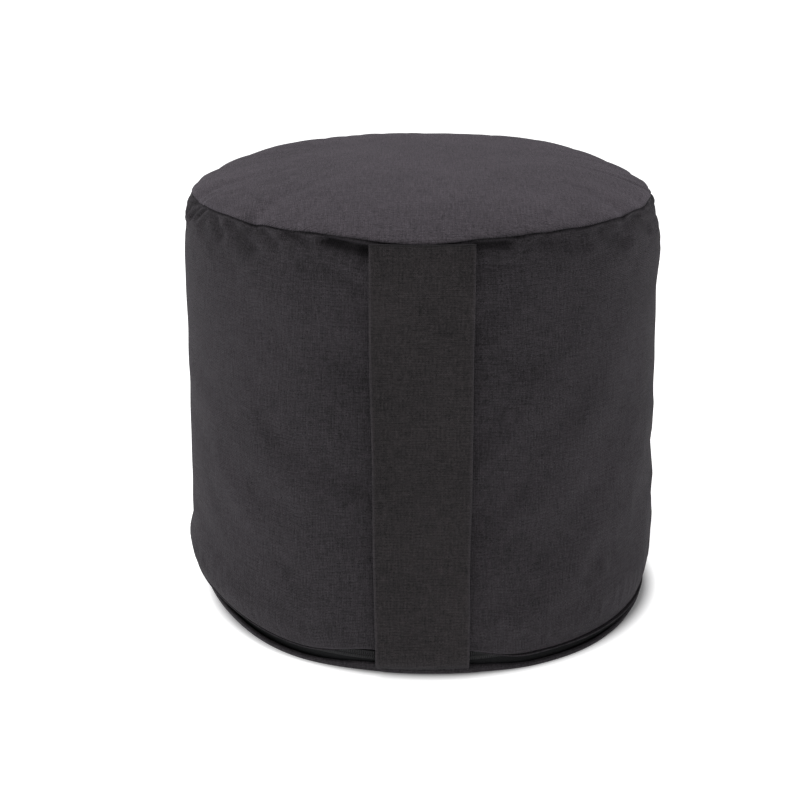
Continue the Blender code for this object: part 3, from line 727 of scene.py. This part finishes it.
def buildLinerTop():
    # A gently crowned disc under the cover's top.
    def heightOf(x, y, share):
        lumps = np.sin(x * 90 + 1) * np.cos(y * 83) + 0.6 * np.sin(x * 150 - y * 120)
        crown = (linerRise - 1.5 * mm) * (1 - share ** 2.6) ** 0.75
        return linerTopZ + crown + 0.5 * mm * lumps * (1 - share ** 4)

    obj = discPiece("liner_top", linerTopR - 0.5 * mm, heightOf, 30, 240, True)
    thicken(obj, liner["cloth"] * 0.75)
    return obj


def buildLinerBase():
    # The bag's floor: flat where it rests on the cover's base, with faint lumps of grain and a rolled rim.
    def heightOf(x, y, share):
        lumps = np.sin(x * 95 + 0.4) * np.cos(y * 88 + 1.1)
        lumps = lumps + 0.7 * np.sin(x * 160 + y * 131) * np.cos(y * 61)
        return linerFloor + 0.35 * mm + 0.22 * mm * lumps * (1 - share ** 8) + 0.5 * mm * share ** 30

    obj = discPiece("liner_floor", linerFootR - 3.0 * mm, heightOf, 44, 320, False)
    thicken(obj, liner["cloth"] * 0.6)
    return obj


def buildHusks():
    # The grain heap inside the bag: a closed crowned body with a lumpy surface, just inside the liner.
    inset = 7.4 * mm
    capShare = np.sin(np.linspace(0.06, math.pi / 2, 16))
    topR = linerTopR - 10 * mm
    capZ = linerTopZ - 4 * mm + (linerRise - 1.0 * mm) * (1 - capShare ** 2.6) ** 0.75
    cap = list(zip(capShare * topR, capZ))
    sideZ = np.linspace(seamZ - 22 * mm, 44 * mm, 30)
    side = [(float(wallRadius(np.array(z)) - inset - 1.6 * mm), z) for z in sideZ]
    foot = [(linerFootR - 5 * mm, 30 * mm), (linerFootR - 4 * mm, 18 * mm), (linerFootR - 6 * mm, 8 * mm)]
    shoulder = [(topR + 5 * mm, linerTopZ - 6 * mm), (topR + 12 * mm, linerTopZ - 13 * mm)]
    under = [(r, 5.2 * mm) for r in np.linspace(linerFootR - 12 * mm, 4 * mm, 14)]
    profile = np.array(cap + shoulder + side + foot + under)
    cols = 240
    angle = ringAngles(cols)[None, :] + np.zeros((len(profile), 1))
    r, z = profile[:, :1] + 0 * angle, profile[:, 1:] + 0 * angle
    lumps = np.sin(angle * 31 + z * 300) * np.cos(z * 410 - angle * 17) * 0.5 * mm
    r = r - np.abs(lumps) * smoothStep(r, 0.02, 0.08)
    ring = around(angle, r, z).reshape(-1, 3)
    rows = len(profile)
    points = lean(np.vstack([ring, [[0, 0, z[0, 0] + 0.2 * mm], [0, 0, z[-1, 0]]]]))
    quads = gridFaces(rows, cols, True)[:, ::-1]
    j = np.arange(cols)
    lid = np.stack([j, (j + 1) % cols, np.full(cols, rows * cols)], -1)
    last = (rows - 1) * cols
    floor = np.stack([last + (j + 1) % cols, last + j, np.full(cols, rows * cols + 1)], -1)
    return meshFromArrays("husk_filling", points, quads.tolist() + lid.tolist() + floor.tolist())


stitch = {"pitch": 3.2 * mm, "length": 2.5 * mm, "thread": 0.26 * mm}


def stitchesAlong(name, middles, along, outward):
    # Each stitch is a short round-ended cord: a 5 by 6 grid of rings, the end rings small, bowed a little.
    sides, rings = 6, 5
    length, thread = stitch["length"], stitch["thread"]
    t = np.array([-1, -0.8, 0, 0.8, 1.0])
    fat = np.array([0.25, 0.85, 1.0, 0.85, 0.25])
    bow = np.array([-0.8, -0.3, 0.25, -0.3, -0.8]) * thread
    a = ringAngles(sides)
    upward = np.cross(along, outward)
    spine = middles[:, None] + along[:, None] * (t * length / 2)[None, :, None]
    spine = spine + outward[:, None] * bow[None, :, None]
    section = np.cos(a)[None, None, :, None] * outward[:, None, None]
    section = section + np.sin(a)[None, None, :, None] * upward[:, None, None]
    points = spine[:, :, None] + thread * fat[None, :, None, None] * section
    one = gridFaces(rings, sides, True)
    count = len(middles)
    start = np.arange(count) * rings * sides
    faces = (one[None] + start[:, None, None]).reshape(-1, 4).tolist()
    first = (start[:, None] + np.arange(sides)[::-1][None, :]).tolist()
    final = (start[:, None] + (rings - 1) * sides + np.arange(sides)[None, :]).tolist()
    return outwardNormals(meshFromArrays(name, points, faces + first + final))


def stitchRing(name, radius, height):
    # A row of stitches round the axis at one radius and height.
    count = int(turn * radius / stitch["pitch"])
    angle = ringAngles(count)
    middles = lean(around(angle, radius, height + 0 * angle))
    along = np.stack([np.cos(angle), np.sin(angle), 0 * angle], -1)
    outward = np.stack([np.sin(angle), -np.cos(angle), 0 * angle], -1)
    return stitchesAlong(name, middles, along, outward)


def stitchBack(name):
    # The row that closes the wall at the rear, on its inner face, from just over the hem to the top seam.
    count = int((seamZ - hemZ - 20 * mm) / stitch["pitch"])
    z = np.linspace(hemZ + 14 * mm, seamZ - 9 * mm, count)
    r = wallRadius(z) - body["clothT"] - 0.55 * mm - 1.2 * mm
    middles = np.stack([0 * z, r, z], -1)
    slope = np.gradient(r, z)
    along = np.stack([0 * z, slope, 1 + 0 * z], -1)
    along /= np.linalg.norm(along, axis=1, keepdims=True)
    outward = np.stack([0 * z, along[:, 2], -along[:, 1]], -1)
    return stitchesAlong(name, middles, along, outward)


slider = {"plateT": 0.9 * mm, "plateLong": 11.0 * mm, "waist": 0.8, "soften": 0.28 * mm,
          "neckLong": 5.2 * mm, "neckWide": 0.76 * mm, "bridgeHalf": 3.55 * mm, "bridgeUp": 1.95 * mm,
          "bridgeW": 2.0 * mm, "bridgeT": 0.9 * mm}
pull = {"length": 21.6 * mm, "wide": 5.8 * mm, "thick": 0.8 * mm, "soften": 0.2 * mm, "waist": 0.2,
        "eyeHalf": 2.15 * mm, "eyeAt": 2.65 * mm, "grips": 4, "gripAt": 12.4 * mm, "gripStep": 1.7 * mm}


def roundedPlate(outline, low, high, soften):
    # A flat piece with soft edges: its closed outline is drawn in near both faces, which are filled.
    centre = outline.mean(0)
    away = outline - centre
    far = np.linalg.norm(away, axis=1, keepdims=True)
    steps = [(1.0, 0.0), (0.62, 0.10), (0.3, 0.32), (0.0, 1.0)]
    rings = []
    one = np.ones((len(outline), 1))
    for inwards, part in steps:
        rings.append(np.hstack([outline - away / far * soften * inwards, one * (low + soften * part)]))
    for inwards, part in steps[::-1]:
        rings.append(np.hstack([outline - away / far * soften * inwards, one * (high - soften * part)]))
    points = np.array(rings)
    rows, cols = points.shape[:2]
    faces = gridFaces(rows, cols, True).tolist()
    caps = [list(range(cols))[::-1], [(rows - 1) * cols + k for k in range(cols)]]
    return points.reshape(-1, 3), faces + caps


def joinShells(name, shells, place):
    # Several closed shells as one mesh; place turns (along, across, out) lengths into the frame's metres.
    points, faces, start = [], [], 0
    for shell, quads in shells:
        points.append(shell)
        faces += [[k + start for k in face] for face in quads]
        start += len(shell)
    points = np.vstack(points)
    return outwardNormals(meshFromArrays(name, place(points), faces))


def sliderPlace():
    # Axes at the slider, read from its own box: along the zip, up, and out from the middle of the pouf.
    lowC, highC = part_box("zip_slider")
    middle = (lowC + highC) / 2
    angle = math.atan2(middle.y, middle.x)
    along = np.array([-math.sin(angle), math.cos(angle), 0])
    out = np.array([math.cos(angle), math.sin(angle), 0])
    up = np.array([0, 0, 1.0])

    def place(points):
        return points[:, :1] * along + points[:, 2:] * out + (points[:, 1:2] + chainZ) * up
    return place


def ovalSides(a, halfX, halfY, powerX, powerY):
    # A superellipse: each side is its half size times a power of the cosine or sine, with its sign.
    return (np.sign(np.cos(a)) * np.abs(np.cos(a)) ** powerX * halfX,
            np.sign(np.sin(a)) * np.abs(np.sin(a)) ** powerY * halfY)


def taperedOutline(length, wide, narrow, count=12):
    # A plate seen from above: a superellipse, narrower by a factor at its +X end.
    a = ringAngles(count * 6)
    x, y = ovalSides(a, length / 2, wide / 2, 0.55, 0.42)
    taper = narrow + (1 - narrow) * (0.5 - 0.5 * np.tanh(x / (length * 0.22)))
    return np.stack([x, y * taper], -1)


def buildSlider():
    # Two plates, the neck between them, and a bridge for the pull.
    lowC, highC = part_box("zip_slider")
    t = slider["plateT"]
    front = coilR + 0.3 * mm
    backOut = tapeR - 1.15 * mm
    size = highC.z - lowC.z
    plate = taperedOutline(slider["plateLong"], size, slider["waist"])
    shells = [roundedPlate(plate, front, front + t, slider["soften"]),
              roundedPlate(plate, backOut - t, backOut, slider["soften"])]
    a = ringAngles(24)
    neck = np.stack([slider["neckLong"] / 2 * np.cos(a) + 2.2 * mm, slider["neckWide"] / 2 * np.sin(a)], -1)
    shells.append(roundedPlate(neck, backOut - 0.4 * mm, front + 0.4 * mm, 0.05 * mm))
    # The bridge is an oval bar carried over the plate: up, across and down again.
    s = np.linspace(0, math.pi, 25)
    x = -np.cos(s) * slider["bridgeHalf"]
    z = front + t / 2 + (t / 2 + slider["bridgeUp"] - 0.35 * mm) * np.sin(s) ** 0.45
    path = np.stack([x, 0 * x, z], -1)
    tangent = np.gradient(path, axis=0)
    tangent /= np.linalg.norm(tangent, axis=1, keepdims=True)
    side = np.array([0, 1.0, 0])
    normal = np.cross(tangent, side[None, :])
    a = ringAngles(14)
    wide, deep = ovalSides(a, slider["bridgeW"] / 2, 0.4 * slider["bridgeT"], 0.6, 0.6)
    bar = path[:, None] + wide[None, :, None] * side + deep[None, :, None] * normal[:, None]
    rows, cols = bar.shape[:2]
    shells.append((bar.reshape(-1, 3), gridFaces(rows, cols, True).tolist() + endCaps(rows, cols)))
    return joinShells("slider_body", shells, sliderPlace())


def buildPull():
    # A long tab with a waist, an eye round the bridge and four grip ribs.
    front = coilR + 0.3 * mm + slider["plateT"]
    axis = front + 0.8 * mm
    thick = pull["thick"]
    n = 96
    a = ringAngles(n)
    x, y = ovalSides(a, pull["length"] / 2, pull["wide"] / 2, 0.4, 0.5)
    waist = 1 - pull["waist"] * hump(x, -0.5 * mm, 4.5 * mm)
    outer = np.stack([x + pull["length"] / 2 - 0.4 * mm, y * waist], -1)
    eyeX, eyeY = ovalSides(a, pull["eyeHalf"], 1.5 * mm, 0.35, 0.5)
    eye = np.stack([eyeX + pull["eyeAt"], eyeY], -1)
    soft = pull["soften"]
    mid = (eye + outer) / 2
    toMidO = (mid - outer) / np.linalg.norm(mid - outer, axis=1, keepdims=True) * soft
    toMidE = (mid - eye) / np.linalg.norm(mid - eye, axis=1, keepdims=True) * soft
    half = thick / 2
    rings = [(outer, soft - half), (outer + toMidO, -half), (eye + toMidE, -half), (eye, soft - half),
             (eye, half - soft), (eye + toMidE, half), (outer + toMidO, half), (outer, half - soft)]
    points = np.array([np.hstack([flat, np.full((n, 1), axis + z)]) for flat, z in rings])
    faces = gridFaces(len(rings), n, True, True).tolist()
    grips = []
    for k in range(pull["grips"]):
        bead = taperedOutline(0.55 * mm, 3.4 * mm, 1.0)
        bead = bead + np.array([[pull["gripAt"] + k * pull["gripStep"], 0]])
        grips.append(roundedPlate(bead, axis + half - 0.25 * mm, axis + half + 0.22 * mm, 0.12 * mm))
    return joinShells("slider_pull", [(points.reshape(-1, 3), faces)] + grips, sliderPlace())


def blockPiece(name, node):
    # A rounded block that fills a small zip end piece's place: a superellipse section along the ring.
    lowC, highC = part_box(node)
    corners = np.array([v.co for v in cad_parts[node].data.vertices])
    angle = np.arctan2(corners[:, 0], -corners[:, 1])
    angle = np.where(angle < 0, angle + turn, angle)
    fromA, toA = angle.min(), angle.max()
    away = np.hypot(corners[:, 0], corners[:, 1])
    rOut, rIn = away.max(), away.min()
    steps = np.linspace(-1, 1, 15)
    size = (1 - np.abs(steps) ** 6) ** 0.5
    size[0] = size[-1] = 0.35
    a = ringAngles(20)
    half = (highC.z - lowC.z) / 2
    rs, zs = ovalSides(a, (rOut - rIn) / 2, half, 0.4, 0.4)
    at = (fromA + toA) / 2 + steps * (toA - fromA) / 2
    r = (rOut + rIn) / 2 + rs[None, :] * size[:, None]
    z = (highC.z + lowC.z) / 2 + zs[None, :] * size[:, None]
    points = around(at[:, None] + 0 * r, r, z)
    rows, cols = r.shape
    faces = gridFaces(rows, cols, True).tolist() + endCaps(rows, cols)
    return outwardNormals(meshFromArrays(name, points.reshape(-1, 3), faces))


def linear(hexCode):
    # sRGB hex to linear values.
    parts = [int(hexCode[k:k + 2], 16) / 255 for k in (1, 3, 5)]
    return [p / 12.92 if p <= 0.04045 else ((p + 0.055) / 1.055) ** 2.4 for p in parts] + [1.0]


def addNode(tree, kind, settings=None, out=0):
    # Adds one shader node and gives back one of its outputs. A setting is the node's own value, the value
    # of one of its sockets, or another node's output to join to that socket.
    made = tree.nodes.new("ShaderNode" + kind)
    for key, value in (settings or {}).items():
        if isinstance(value, bpy.types.NodeSocket):
            tree.links.new(value, made.inputs[key])
        elif isinstance(key, str) and hasattr(made, key):
            setattr(made, key, value)
        else:
            made.inputs[key].default_value = value
    return made.outputs[out]


def newFinish(name):
    made = bpy.data.materials.new(name)
    made.use_nodes = True
    made.node_tree.nodes.clear()
    return made, made.node_tree


def finishWith(made, surface):
    # Joins the last shader to the finish's output, and hands the finish back.
    out = made.node_tree.nodes.new("ShaderNodeOutputMaterial")
    made.node_tree.links.new(surface, out.inputs[0])
    return made


def wovenCanvas(name, settings):
    # Plain-weave cotton canvas, piece-dyed and washed: dull, grainy, each thread a little lighter or
    # darker, with a soft nap that brightens where the cloth turns away. Threads are 0.6 mm in the cloth
    # and drawn wider.
    made, tree = newFinish(name)
    flat = addNode(tree, "UVMap", {"uv_map": "cloth"}, "UV")
    wobble = addNode(tree, "TexNoise", {"Scale": 130.0, "Detail": 2.0, "Vector": flat}, "Color")
    pushed = addNode(tree, "VectorMath", {"operation": "SCALE", "Scale": 2.4 * mm, 0: wobble})
    place = addNode(tree, "VectorMath", {"operation": "ADD", 0: flat, 1: pushed})
    apart = addNode(tree, "SeparateXYZ", {0: place}).node.outputs
    pitch = settings["drawnThread"]
    ridges = []
    for key in "XY":
        phase = addNode(tree, "Math", {"operation": "MULTIPLY", 0: apart[key], 1: math.pi / pitch})
        ridges.append(addNode(tree, "Math", {"operation": "SINE", 0: phase}))
    over = addNode(tree, "Math", {"operation": "MULTIPLY", 0: ridges[0], 1: ridges[1]})
    lump = addNode(tree, "Math", {"operation": "ABSOLUTE", 0: over})
    warpOnTop = addNode(tree, "Math", {"operation": "GREATER_THAN", 0: over, 1: 0.0})
    yarns = []
    for stretch, offset in (((1 / pitch, 0.09 / pitch, 1), 0.0), ((0.09 / pitch, 1 / pitch, 1), 7.3)):
        moved = addNode(tree, "Mapping", {"Scale": stretch, "Location": (offset, offset, 0),
                                          "Vector": place})
        yarns.append(addNode(tree, "TexNoise", {"Scale": 1.0, "Detail": 1.5, "Roughness": 0.6,
                                                "Vector": moved}, "Fac"))
    yarn = addNode(tree, "Mix", {"data_type": "FLOAT", 0: warpOnTop, 2: yarns[0], 3: yarns[1]})
    wide = addNode(tree, "TexCoord", out="Object")
    fade = addNode(tree, "TexNoise", {"Scale": 14.0, "Detail": 3.0, "Roughness": 0.55, "Vector": wide},
                   "Fac")
    fuzz = addNode(tree, "TexNoise", {"Scale": 620.0, "Detail": 2.0, "Roughness": 0.7, "Vector": wide},
                   "Fac")
    tones = []
    for source, start, end, reach, clamp in ((yarn, 0.33, 0.67, 1.0, False), (fade, 0.3, 0.7, 0.35, True),
                                             (fuzz, 0.3, 0.7, 0.9, True)):
        tones.append(addNode(tree, "MapRange", {"From Min": start, "From Max": end, "To Min": -reach,
                                                "To Max": reach, "clamp": clamp, "Value": source}))
    both = addNode(tree, "Math", {"operation": "ADD", 0: tones[0], 1: tones[1]})
    toneSum = addNode(tree, "Math", {"operation": "ADD", 0: both, 1: tones[2]})
    spot = addNode(tree, "MapRange", {"From Min": -1.8, "From Max": 1.8, "Value": toneSum})
    colour = addNode(tree, "ValToRGB", {0: spot})
    colour.node.color_ramp.elements[0].color = linear(settings["dark"])
    colour.node.color_ramp.elements[1].color = linear(settings["light"])
    # The marks on the mesh: cloth made paler along its edges, partly rubbed wear and partly painted
    # highlight where the folded edges catch the light, and painted shade that darkens its folds, creases
    # and hollows.
    for mark, amount, tint in (("edge", "wearAndHighlight", "wornAndHighlight"), ("paintedShade", "paintedShadeAmount", "deep")):
        found = addNode(tree, "Attribute", {"attribute_name": mark}, "Fac")
        part = addNode(tree, "Math", {"operation": "MULTIPLY", 0: found, 1: settings[amount]})
        colour = addNode(tree, "Mix", {"data_type": "RGBA", 0: part, 6: colour,
                                       7: linear(settings[tint])}, 2)
    ribs = addNode(tree, "Math", {"operation": "MULTIPLY", 0: lump, 1: 0.7})
    rough = addNode(tree, "Math", {"operation": "ADD", 0: ribs, 1: fuzz})
    weave = addNode(tree, "Bump", {"Strength": settings["weave"], "Distance": 0.5 * mm, "Height": rough})
    soft = addNode(tree, "TexNoise", {"Scale": 55.0, "Detail": 2.0, "Roughness": 0.5, "Vector": wide},
                   "Fac")
    softBump = addNode(tree, "Bump", {"Strength": 0.35, "Distance": 1.2 * mm, "Height": soft,
                                      "Normal": weave})
    return finishWith(made, addNode(tree, "BsdfPrincipled", {
        "Base Color": colour, "Roughness": 0.93, "Specular IOR Level": 0.25, "Normal": softBump,
        "Sheen Weight": settings["nap"], "Sheen Roughness": 0.55,
        "Sheen Tint": linear(settings["napTint"])}))


def wovenTape(name, settings):
    # Narrow woven polyester tape: fine ribs across its length, fine lines along it, a dull gleam.
    made, tree = newFinish(name)
    place = addNode(tree, "UVMap", {"uv_map": "cloth"}, "UV")
    ribs, lines = [addNode(tree, "TexWave", {"wave_type": "BANDS", "bands_direction": direction,
                                             "Scale": scale, "Distortion": bend, "Vector": place}, "Fac")
                   for direction, scale, bend in (("X", settings["ribs"], 0.2),
                                                  ("Y", settings["lines"], 0.0))]
    grain = addNode(tree, "TexNoise", {"Scale": 900.0, "Detail": 2.0, "Vector": place}, "Fac")
    ribSum = addNode(tree, "Math", {"operation": "ADD", 0: ribs, 1: lines})
    colour = addNode(tree, "Mix", {"data_type": "RGBA", 0: grain, 6: linear(settings["dark"]),
                                   7: linear(settings["light"])}, 2)
    bump = addNode(tree, "Bump", {"Strength": 0.6, "Distance": 0.15 * mm, "Height": ribSum})
    return finishWith(made, addNode(tree, "BsdfPrincipled", {
        "Base Color": colour, "Roughness": 0.75, "Specular IOR Level": 0.2, "Normal": bump}))


def nylonMonofilament(name):
    # Extruded nylon wire, dyed black and wound hot: smooth, with a soft gleam and slight dye streaks.
    made, tree = newFinish(name)
    wide = addNode(tree, "TexCoord", out="Object")
    streak = addNode(tree, "TexNoise", {"Scale": 700.0, "Detail": 1.0, "Vector": wide}, "Fac")
    colour = addNode(tree, "Mix", {"data_type": "RGBA", 0: streak, 6: linear("#0e0e10"),
                                   7: linear("#1c1c1f")}, 2)
    gleam = addNode(tree, "MapRange", {"To Min": 0.32, "To Max": 0.5, "Value": streak})
    return finishWith(made, addNode(tree, "BsdfPrincipled", {
        "Base Color": colour, "Roughness": gleam, "IOR": 1.53}))


def blackEnamel(name):
    # Die-cast zinc under baked black enamel: a smooth hard skin with faint orange peel and rubbed spots.
    made, tree = newFinish(name)
    wide = addNode(tree, "TexCoord", out="Object")
    peel = addNode(tree, "TexNoise", {"Scale": 1100.0, "Detail": 2.0, "Vector": wide}, "Fac")
    cloud = addNode(tree, "TexNoise", {"Scale": 260.0, "Detail": 3.0, "Vector": wide}, "Fac")
    bump = addNode(tree, "Bump", {"Strength": 0.12, "Distance": 0.05 * mm, "Height": peel})
    colour = addNode(tree, "Mix", {"data_type": "RGBA", 0: cloud, 6: linear("#19191b"),
                                   7: linear("#2b2b2e")}, 2)
    gleam = addNode(tree, "MapRange", {"To Min": 0.24, "To Max": 0.42, "Value": cloud})
    return finishWith(made, addNode(tree, "BsdfPrincipled", {
        "Base Color": colour, "Roughness": gleam, "Coat Weight": 0.4, "Coat Roughness": 0.15,
        "Normal": bump}))


def spunThread(name, dark, light):
    # Spun polyester sewing thread: twisted plies, drawn as slanting bands, with a slight sheen.
    made, tree = newFinish(name)
    wide = addNode(tree, "TexCoord", out="Object")
    ply = addNode(tree, "TexWave", {"wave_type": "BANDS", "bands_direction": "DIAGONAL", "Scale": 420.0,
                                    "Distortion": 0.6, "Vector": wide}, "Fac")
    bump = addNode(tree, "Bump", {"Strength": 0.5, "Distance": 0.08 * mm, "Height": ply})
    colour = addNode(tree, "Mix", {"data_type": "RGBA", 0: ply, 6: linear(dark), 7: linear(light)}, 2)
    return finishWith(made, addNode(tree, "BsdfPrincipled", {
        "Base Color": colour, "Roughness": 0.6, "Sheen Weight": 0.15, "Normal": bump}))


def buckwheatHusks(name):
    # Dry buckwheat hulls, cleaned and unpolished: flakes of 5 mm, dark brown with lighter edges.
    made, tree = newFinish(name)
    wide = addNode(tree, "TexCoord", out="Object")
    cells = addNode(tree, "TexVoronoi", {"Scale": 200.0, "Randomness": 1.0, "Vector": wide}, "Distance")
    colour = addNode(tree, "ValToRGB", {0: cells})
    colour.node.color_ramp.elements[0].color = linear("#6a5038")
    colour.node.color_ramp.elements[1].color = linear("#2c1d12")
    bump = addNode(tree, "Bump", {"Strength": 1.0, "Distance": 1.5 * mm, "invert": True, "Height": cells})
    return finishWith(made, addNode(tree, "BsdfPrincipled", {
        "Base Color": colour, "Roughness": 0.75, "Normal": bump}))


# In these canvases the darkest fold colour is painted shade for folds and seams, and the pale edge colour
# is partly wear, partly painted highlight.
canvas = {"drawnThread": 1.3 * mm, "dark": "#060606", "light": "#393539", "wornAndHighlight": "#454145", "wearAndHighlight": 0.5,
          "deep": "#080808", "paintedShadeAmount": 0.75, "weave": 1.0, "nap": 0.16, "napTint": "#8c8490"}
canvasWall = wovenCanvas("charcoalCanvas", canvas)
# The top is the wall's canvas with its colours painted lighter, because it faces the light from above: a
# lit copy of the same cloth.
canvasTopPaintedLighter = wovenCanvas("charcoalCanvasTopPaintedLighter", dict(canvas, dark="#1c1a1c", light="#544e54", nap=0.40))
canvasStrap = wovenCanvas("charcoalStrapCanvas", dict(canvas, dark="#060606", light="#343031", nap=0.14,
                                                      wearAndHighlight=0.6))
calico = wovenCanvas("naturalCalico", {"drawnThread": 1.1 * mm, "dark": "#a89b80", "light": "#e0d3b8",
                                       "wornAndHighlight": "#dccfb4", "wearAndHighlight": 0.0, "deep": "#8c7f66", "paintedShadeAmount": 0.3,
                                       "weave": 0.6, "nap": 0.15, "napTint": "#e8dfca"})
tapeFinish = wovenTape("blackZipTape", {"ribs": 160.0, "lines": 230.0, "dark": "#090a0b",
                                        "light": "#131416"})
coilFinish = nylonMonofilament("blackNylonCoil")
metalFinish = blackEnamel("blackEnamelZinc")
darkThread = spunThread("charcoalThread", "#141416", "#2a2a2d")
paleThread = spunThread("naturalThread", "#cfc4aa", "#eee4cc")
huskFinish = buckwheatHusks("buckwheatHusks")


def dress(obj, finish):
    obj.data.materials.clear()
    obj.data.materials.append(finish)
    return obj


def carried(obj, finish, slot, bodyName, *nodes):
    # Finish, body and the model's own nodes that the piece stands for.
    dress(obj, finish)
    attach(obj, bodyName)
    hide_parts(*nodes)
    return obj


coverWall = carried(buildWall(), canvasWall, "canvas_wall", "cover", "side_panel")
coverTop = carried(buildTop(), canvasTopPaintedLighter, "canvas_top", "cover", "top_panel")
print("cover sewn")

coverBase = carried(buildBase(), canvasWall, "canvas_wall", "base", "base_panel")

meetZ = 0.5 * (seamZ + bandTop)
strapUpper = dress(buildStrap("strap_upper", meetZ, strapTop), canvasStrap)
strapLower = dress(buildStrap("strap_lower", strap["lowEnd"], meetZ), canvasStrap)
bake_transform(strapUpper)
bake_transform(strapLower)
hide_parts("carry_strap")
print("strap sewn in")

tapeTop = high("zip_tape_upper").z
carried(buildTape("tape_upper", chainZ + 0.08 * mm, tapeTop), tapeFinish, "zip_tape", "cover",
        "zip_tape_upper")
carried(buildTape("tape_lower", 3.0 * mm, chainZ - 0.08 * mm), tapeFinish, "zip_tape", "base",
        "zip_tape_lower")
carried(buildCoil("coil_upper", 1), coilFinish, "zip_coil", "cover", "zip_coil_upper")
carried(buildCoil("coil_lower", -1), coilFinish, "zip_coil", "base", "zip_coil_lower")
for pieceName, node, bodyName in (("stop_upper", "zip_stop_upper", "cover"),
                                  ("stop_lower", "zip_stop_lower", "base"),
                                  ("end_pin", "zip_pin", "cover"), ("end_box", "zip_box", "base")):
    carried(blockPiece(pieceName, node), metalFinish, "zip_metal", bodyName, node)
carried(buildSlider(), metalFinish, "zip_metal", "slider", "zip_slider")
carried(buildPull(), metalFinish, "zip_metal", "pull", "zip_pull")
print("zip fitted")


def threadPlace(node):
    # Radius and height of the middle of a thread ring of the model.
    lowC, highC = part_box(node)
    return highC.x - 0.5 * (highC.z - lowC.z), 0.5 * (highC.z + lowC.z)


for pieceName, node, finish, slotName, bodyName in (
        ("stitches_hem", "hem_thread", darkThread, "dark_thread", "cover"),
        ("stitches_base", "base_seam_thread", darkThread, "dark_thread", "base"),
        ("stitches_top", "top_seam_thread", darkThread, "dark_thread", "cover"),
        ("stitches_liner_top", "liner_top_thread", paleThread, "liner_thread", "cover"),
        ("stitches_liner_base", "liner_base_thread", paleThread, "liner_thread", "cover")):
    rowR, rowZ = threadPlace(node)
    carried(stitchRing(pieceName, rowR, rowZ), finish, slotName, bodyName, node)
carried(stitchBack("stitches_back"), darkThread, "dark_thread", "cover", "back_seam_thread")

linerWall = carried(buildLinerWall(), calico, "liner_cloth", "cover", "liner_side_panel")
linerTop = carried(buildLinerTop(), calico, "liner_cloth", "cover", "liner_top_panel")
linerBase = carried(buildLinerBase(), calico, "liner_cloth", "cover", "liner_base_panel")
husks = carried(buildHusks(), huskFinish, "husks", "cover", "filling")
print("inner cushion filled")


studio = {"sky": 0.48, "floorGlow": 0.75, "key": 28.0, "keySize": 1.8, "keyPlace": (-0.6, 0.05, 2.3),
          "side": 4.0, "sideSize": 1.4, "sidePlace": (-2.2, -0.9, 1.0), "lens": 72.0, "sensor": 36.0,
          "shiftX": -0.0275, "eye": (0, -1.238, 0.580), "lookDown": 19.0}


def buildFloor():
    # One big flat square. It glows faintly, as a lit white sweep does, but not where the pouf touches it:
    # the glow fades out in a ring round the foot, a painted contact shadow.
    span = 30.0
    corners = np.array([[-span, -span, 0], [span, -span, 0], [span, span, 0], [-span, span, 0]], float)
    obj = meshFromArrays("studio_floor", corners, [[0, 1, 2, 3]])
    made, tree = newFinish("whitePaintedFloor")
    apart = addNode(tree, "SeparateXYZ", {0: addNode(tree, "TexCoord", out="Object")}).node.outputs
    flat = addNode(tree, "CombineXYZ", {0: apart[0], 1: apart[1]})
    fromFoot = addNode(tree, "VectorMath", {"operation": "SUBTRACT", 0: flat, 1: (body["lean"], 0, 0)})
    away = addNode(tree, "VectorMath", {"operation": "LENGTH", 0: fromFoot}, "Value")
    glow = addNode(tree, "MapRange", {"From Min": footR - 7 * mm, "From Max": footR + 4 * mm,
                                      "To Max": studio["floorGlow"], "Value": away})
    obj.data.materials.append(finishWith(made, addNode(tree, "BsdfPrincipled", {
        "Base Color": linear("#ededee"), "Roughness": 0.9, "Specular IOR Level": 0.1,
        "Emission Color": (1.0, 1.0, 1.0, 1.0), "Emission Strength": glow})))


def areaLight(name, place, aim, size, power):
    lamp = bpy.data.lights.new(name, "AREA")
    lamp.shape = "DISK"
    lamp.size = size
    lamp.energy = power
    obj = bpy.data.objects.new(name, lamp)
    bpy.context.scene.collection.objects.link(obj)
    direction = np.array(aim) - np.array(place)
    obj.location = place
    obj.rotation_euler = Vector(direction).to_track_quat("-Z", "Y").to_euler()


buildFloor()
scene = bpy.context.scene
world = bpy.data.worlds.new("studio")
scene.world = world
world.use_nodes = True
shine = world.node_tree.nodes["Background"]
shine.inputs["Color"].default_value = (1.0, 1.0, 1.0, 1.0)
# The sky lights softly, and is plain white where it is seen past the floor.
seen = addNode(world.node_tree, "LightPath", out="Is Camera Ray")
sky = addNode(world.node_tree, "MapRange", {"To Min": studio["sky"], "Value": seen})
world.node_tree.links.new(sky, shine.inputs["Strength"])
areaLight("overhead", studio["keyPlace"], (0, 0, 0.2), studio["keySize"], studio["key"])
areaLight("sideFill", studio["sidePlace"], (0, 0, 0.2), studio["sideSize"], studio["side"])
scene.view_settings.view_transform = "Standard"

camera = bpy.data.cameras.new("camera")
camera.lens = studio["lens"]
camera.sensor_width = studio["sensor"]
camera.shift_x = studio["shiftX"]
camera.clip_end = 200
cameraObj = bpy.data.objects.new("camera", camera)
cameraObj.location = studio["eye"]
cameraObj.rotation_euler = (math.radians(90 - studio["lookDown"]), 0, 0)
scene.collection.objects.link(cameraObj)
scene.camera = cameraObj
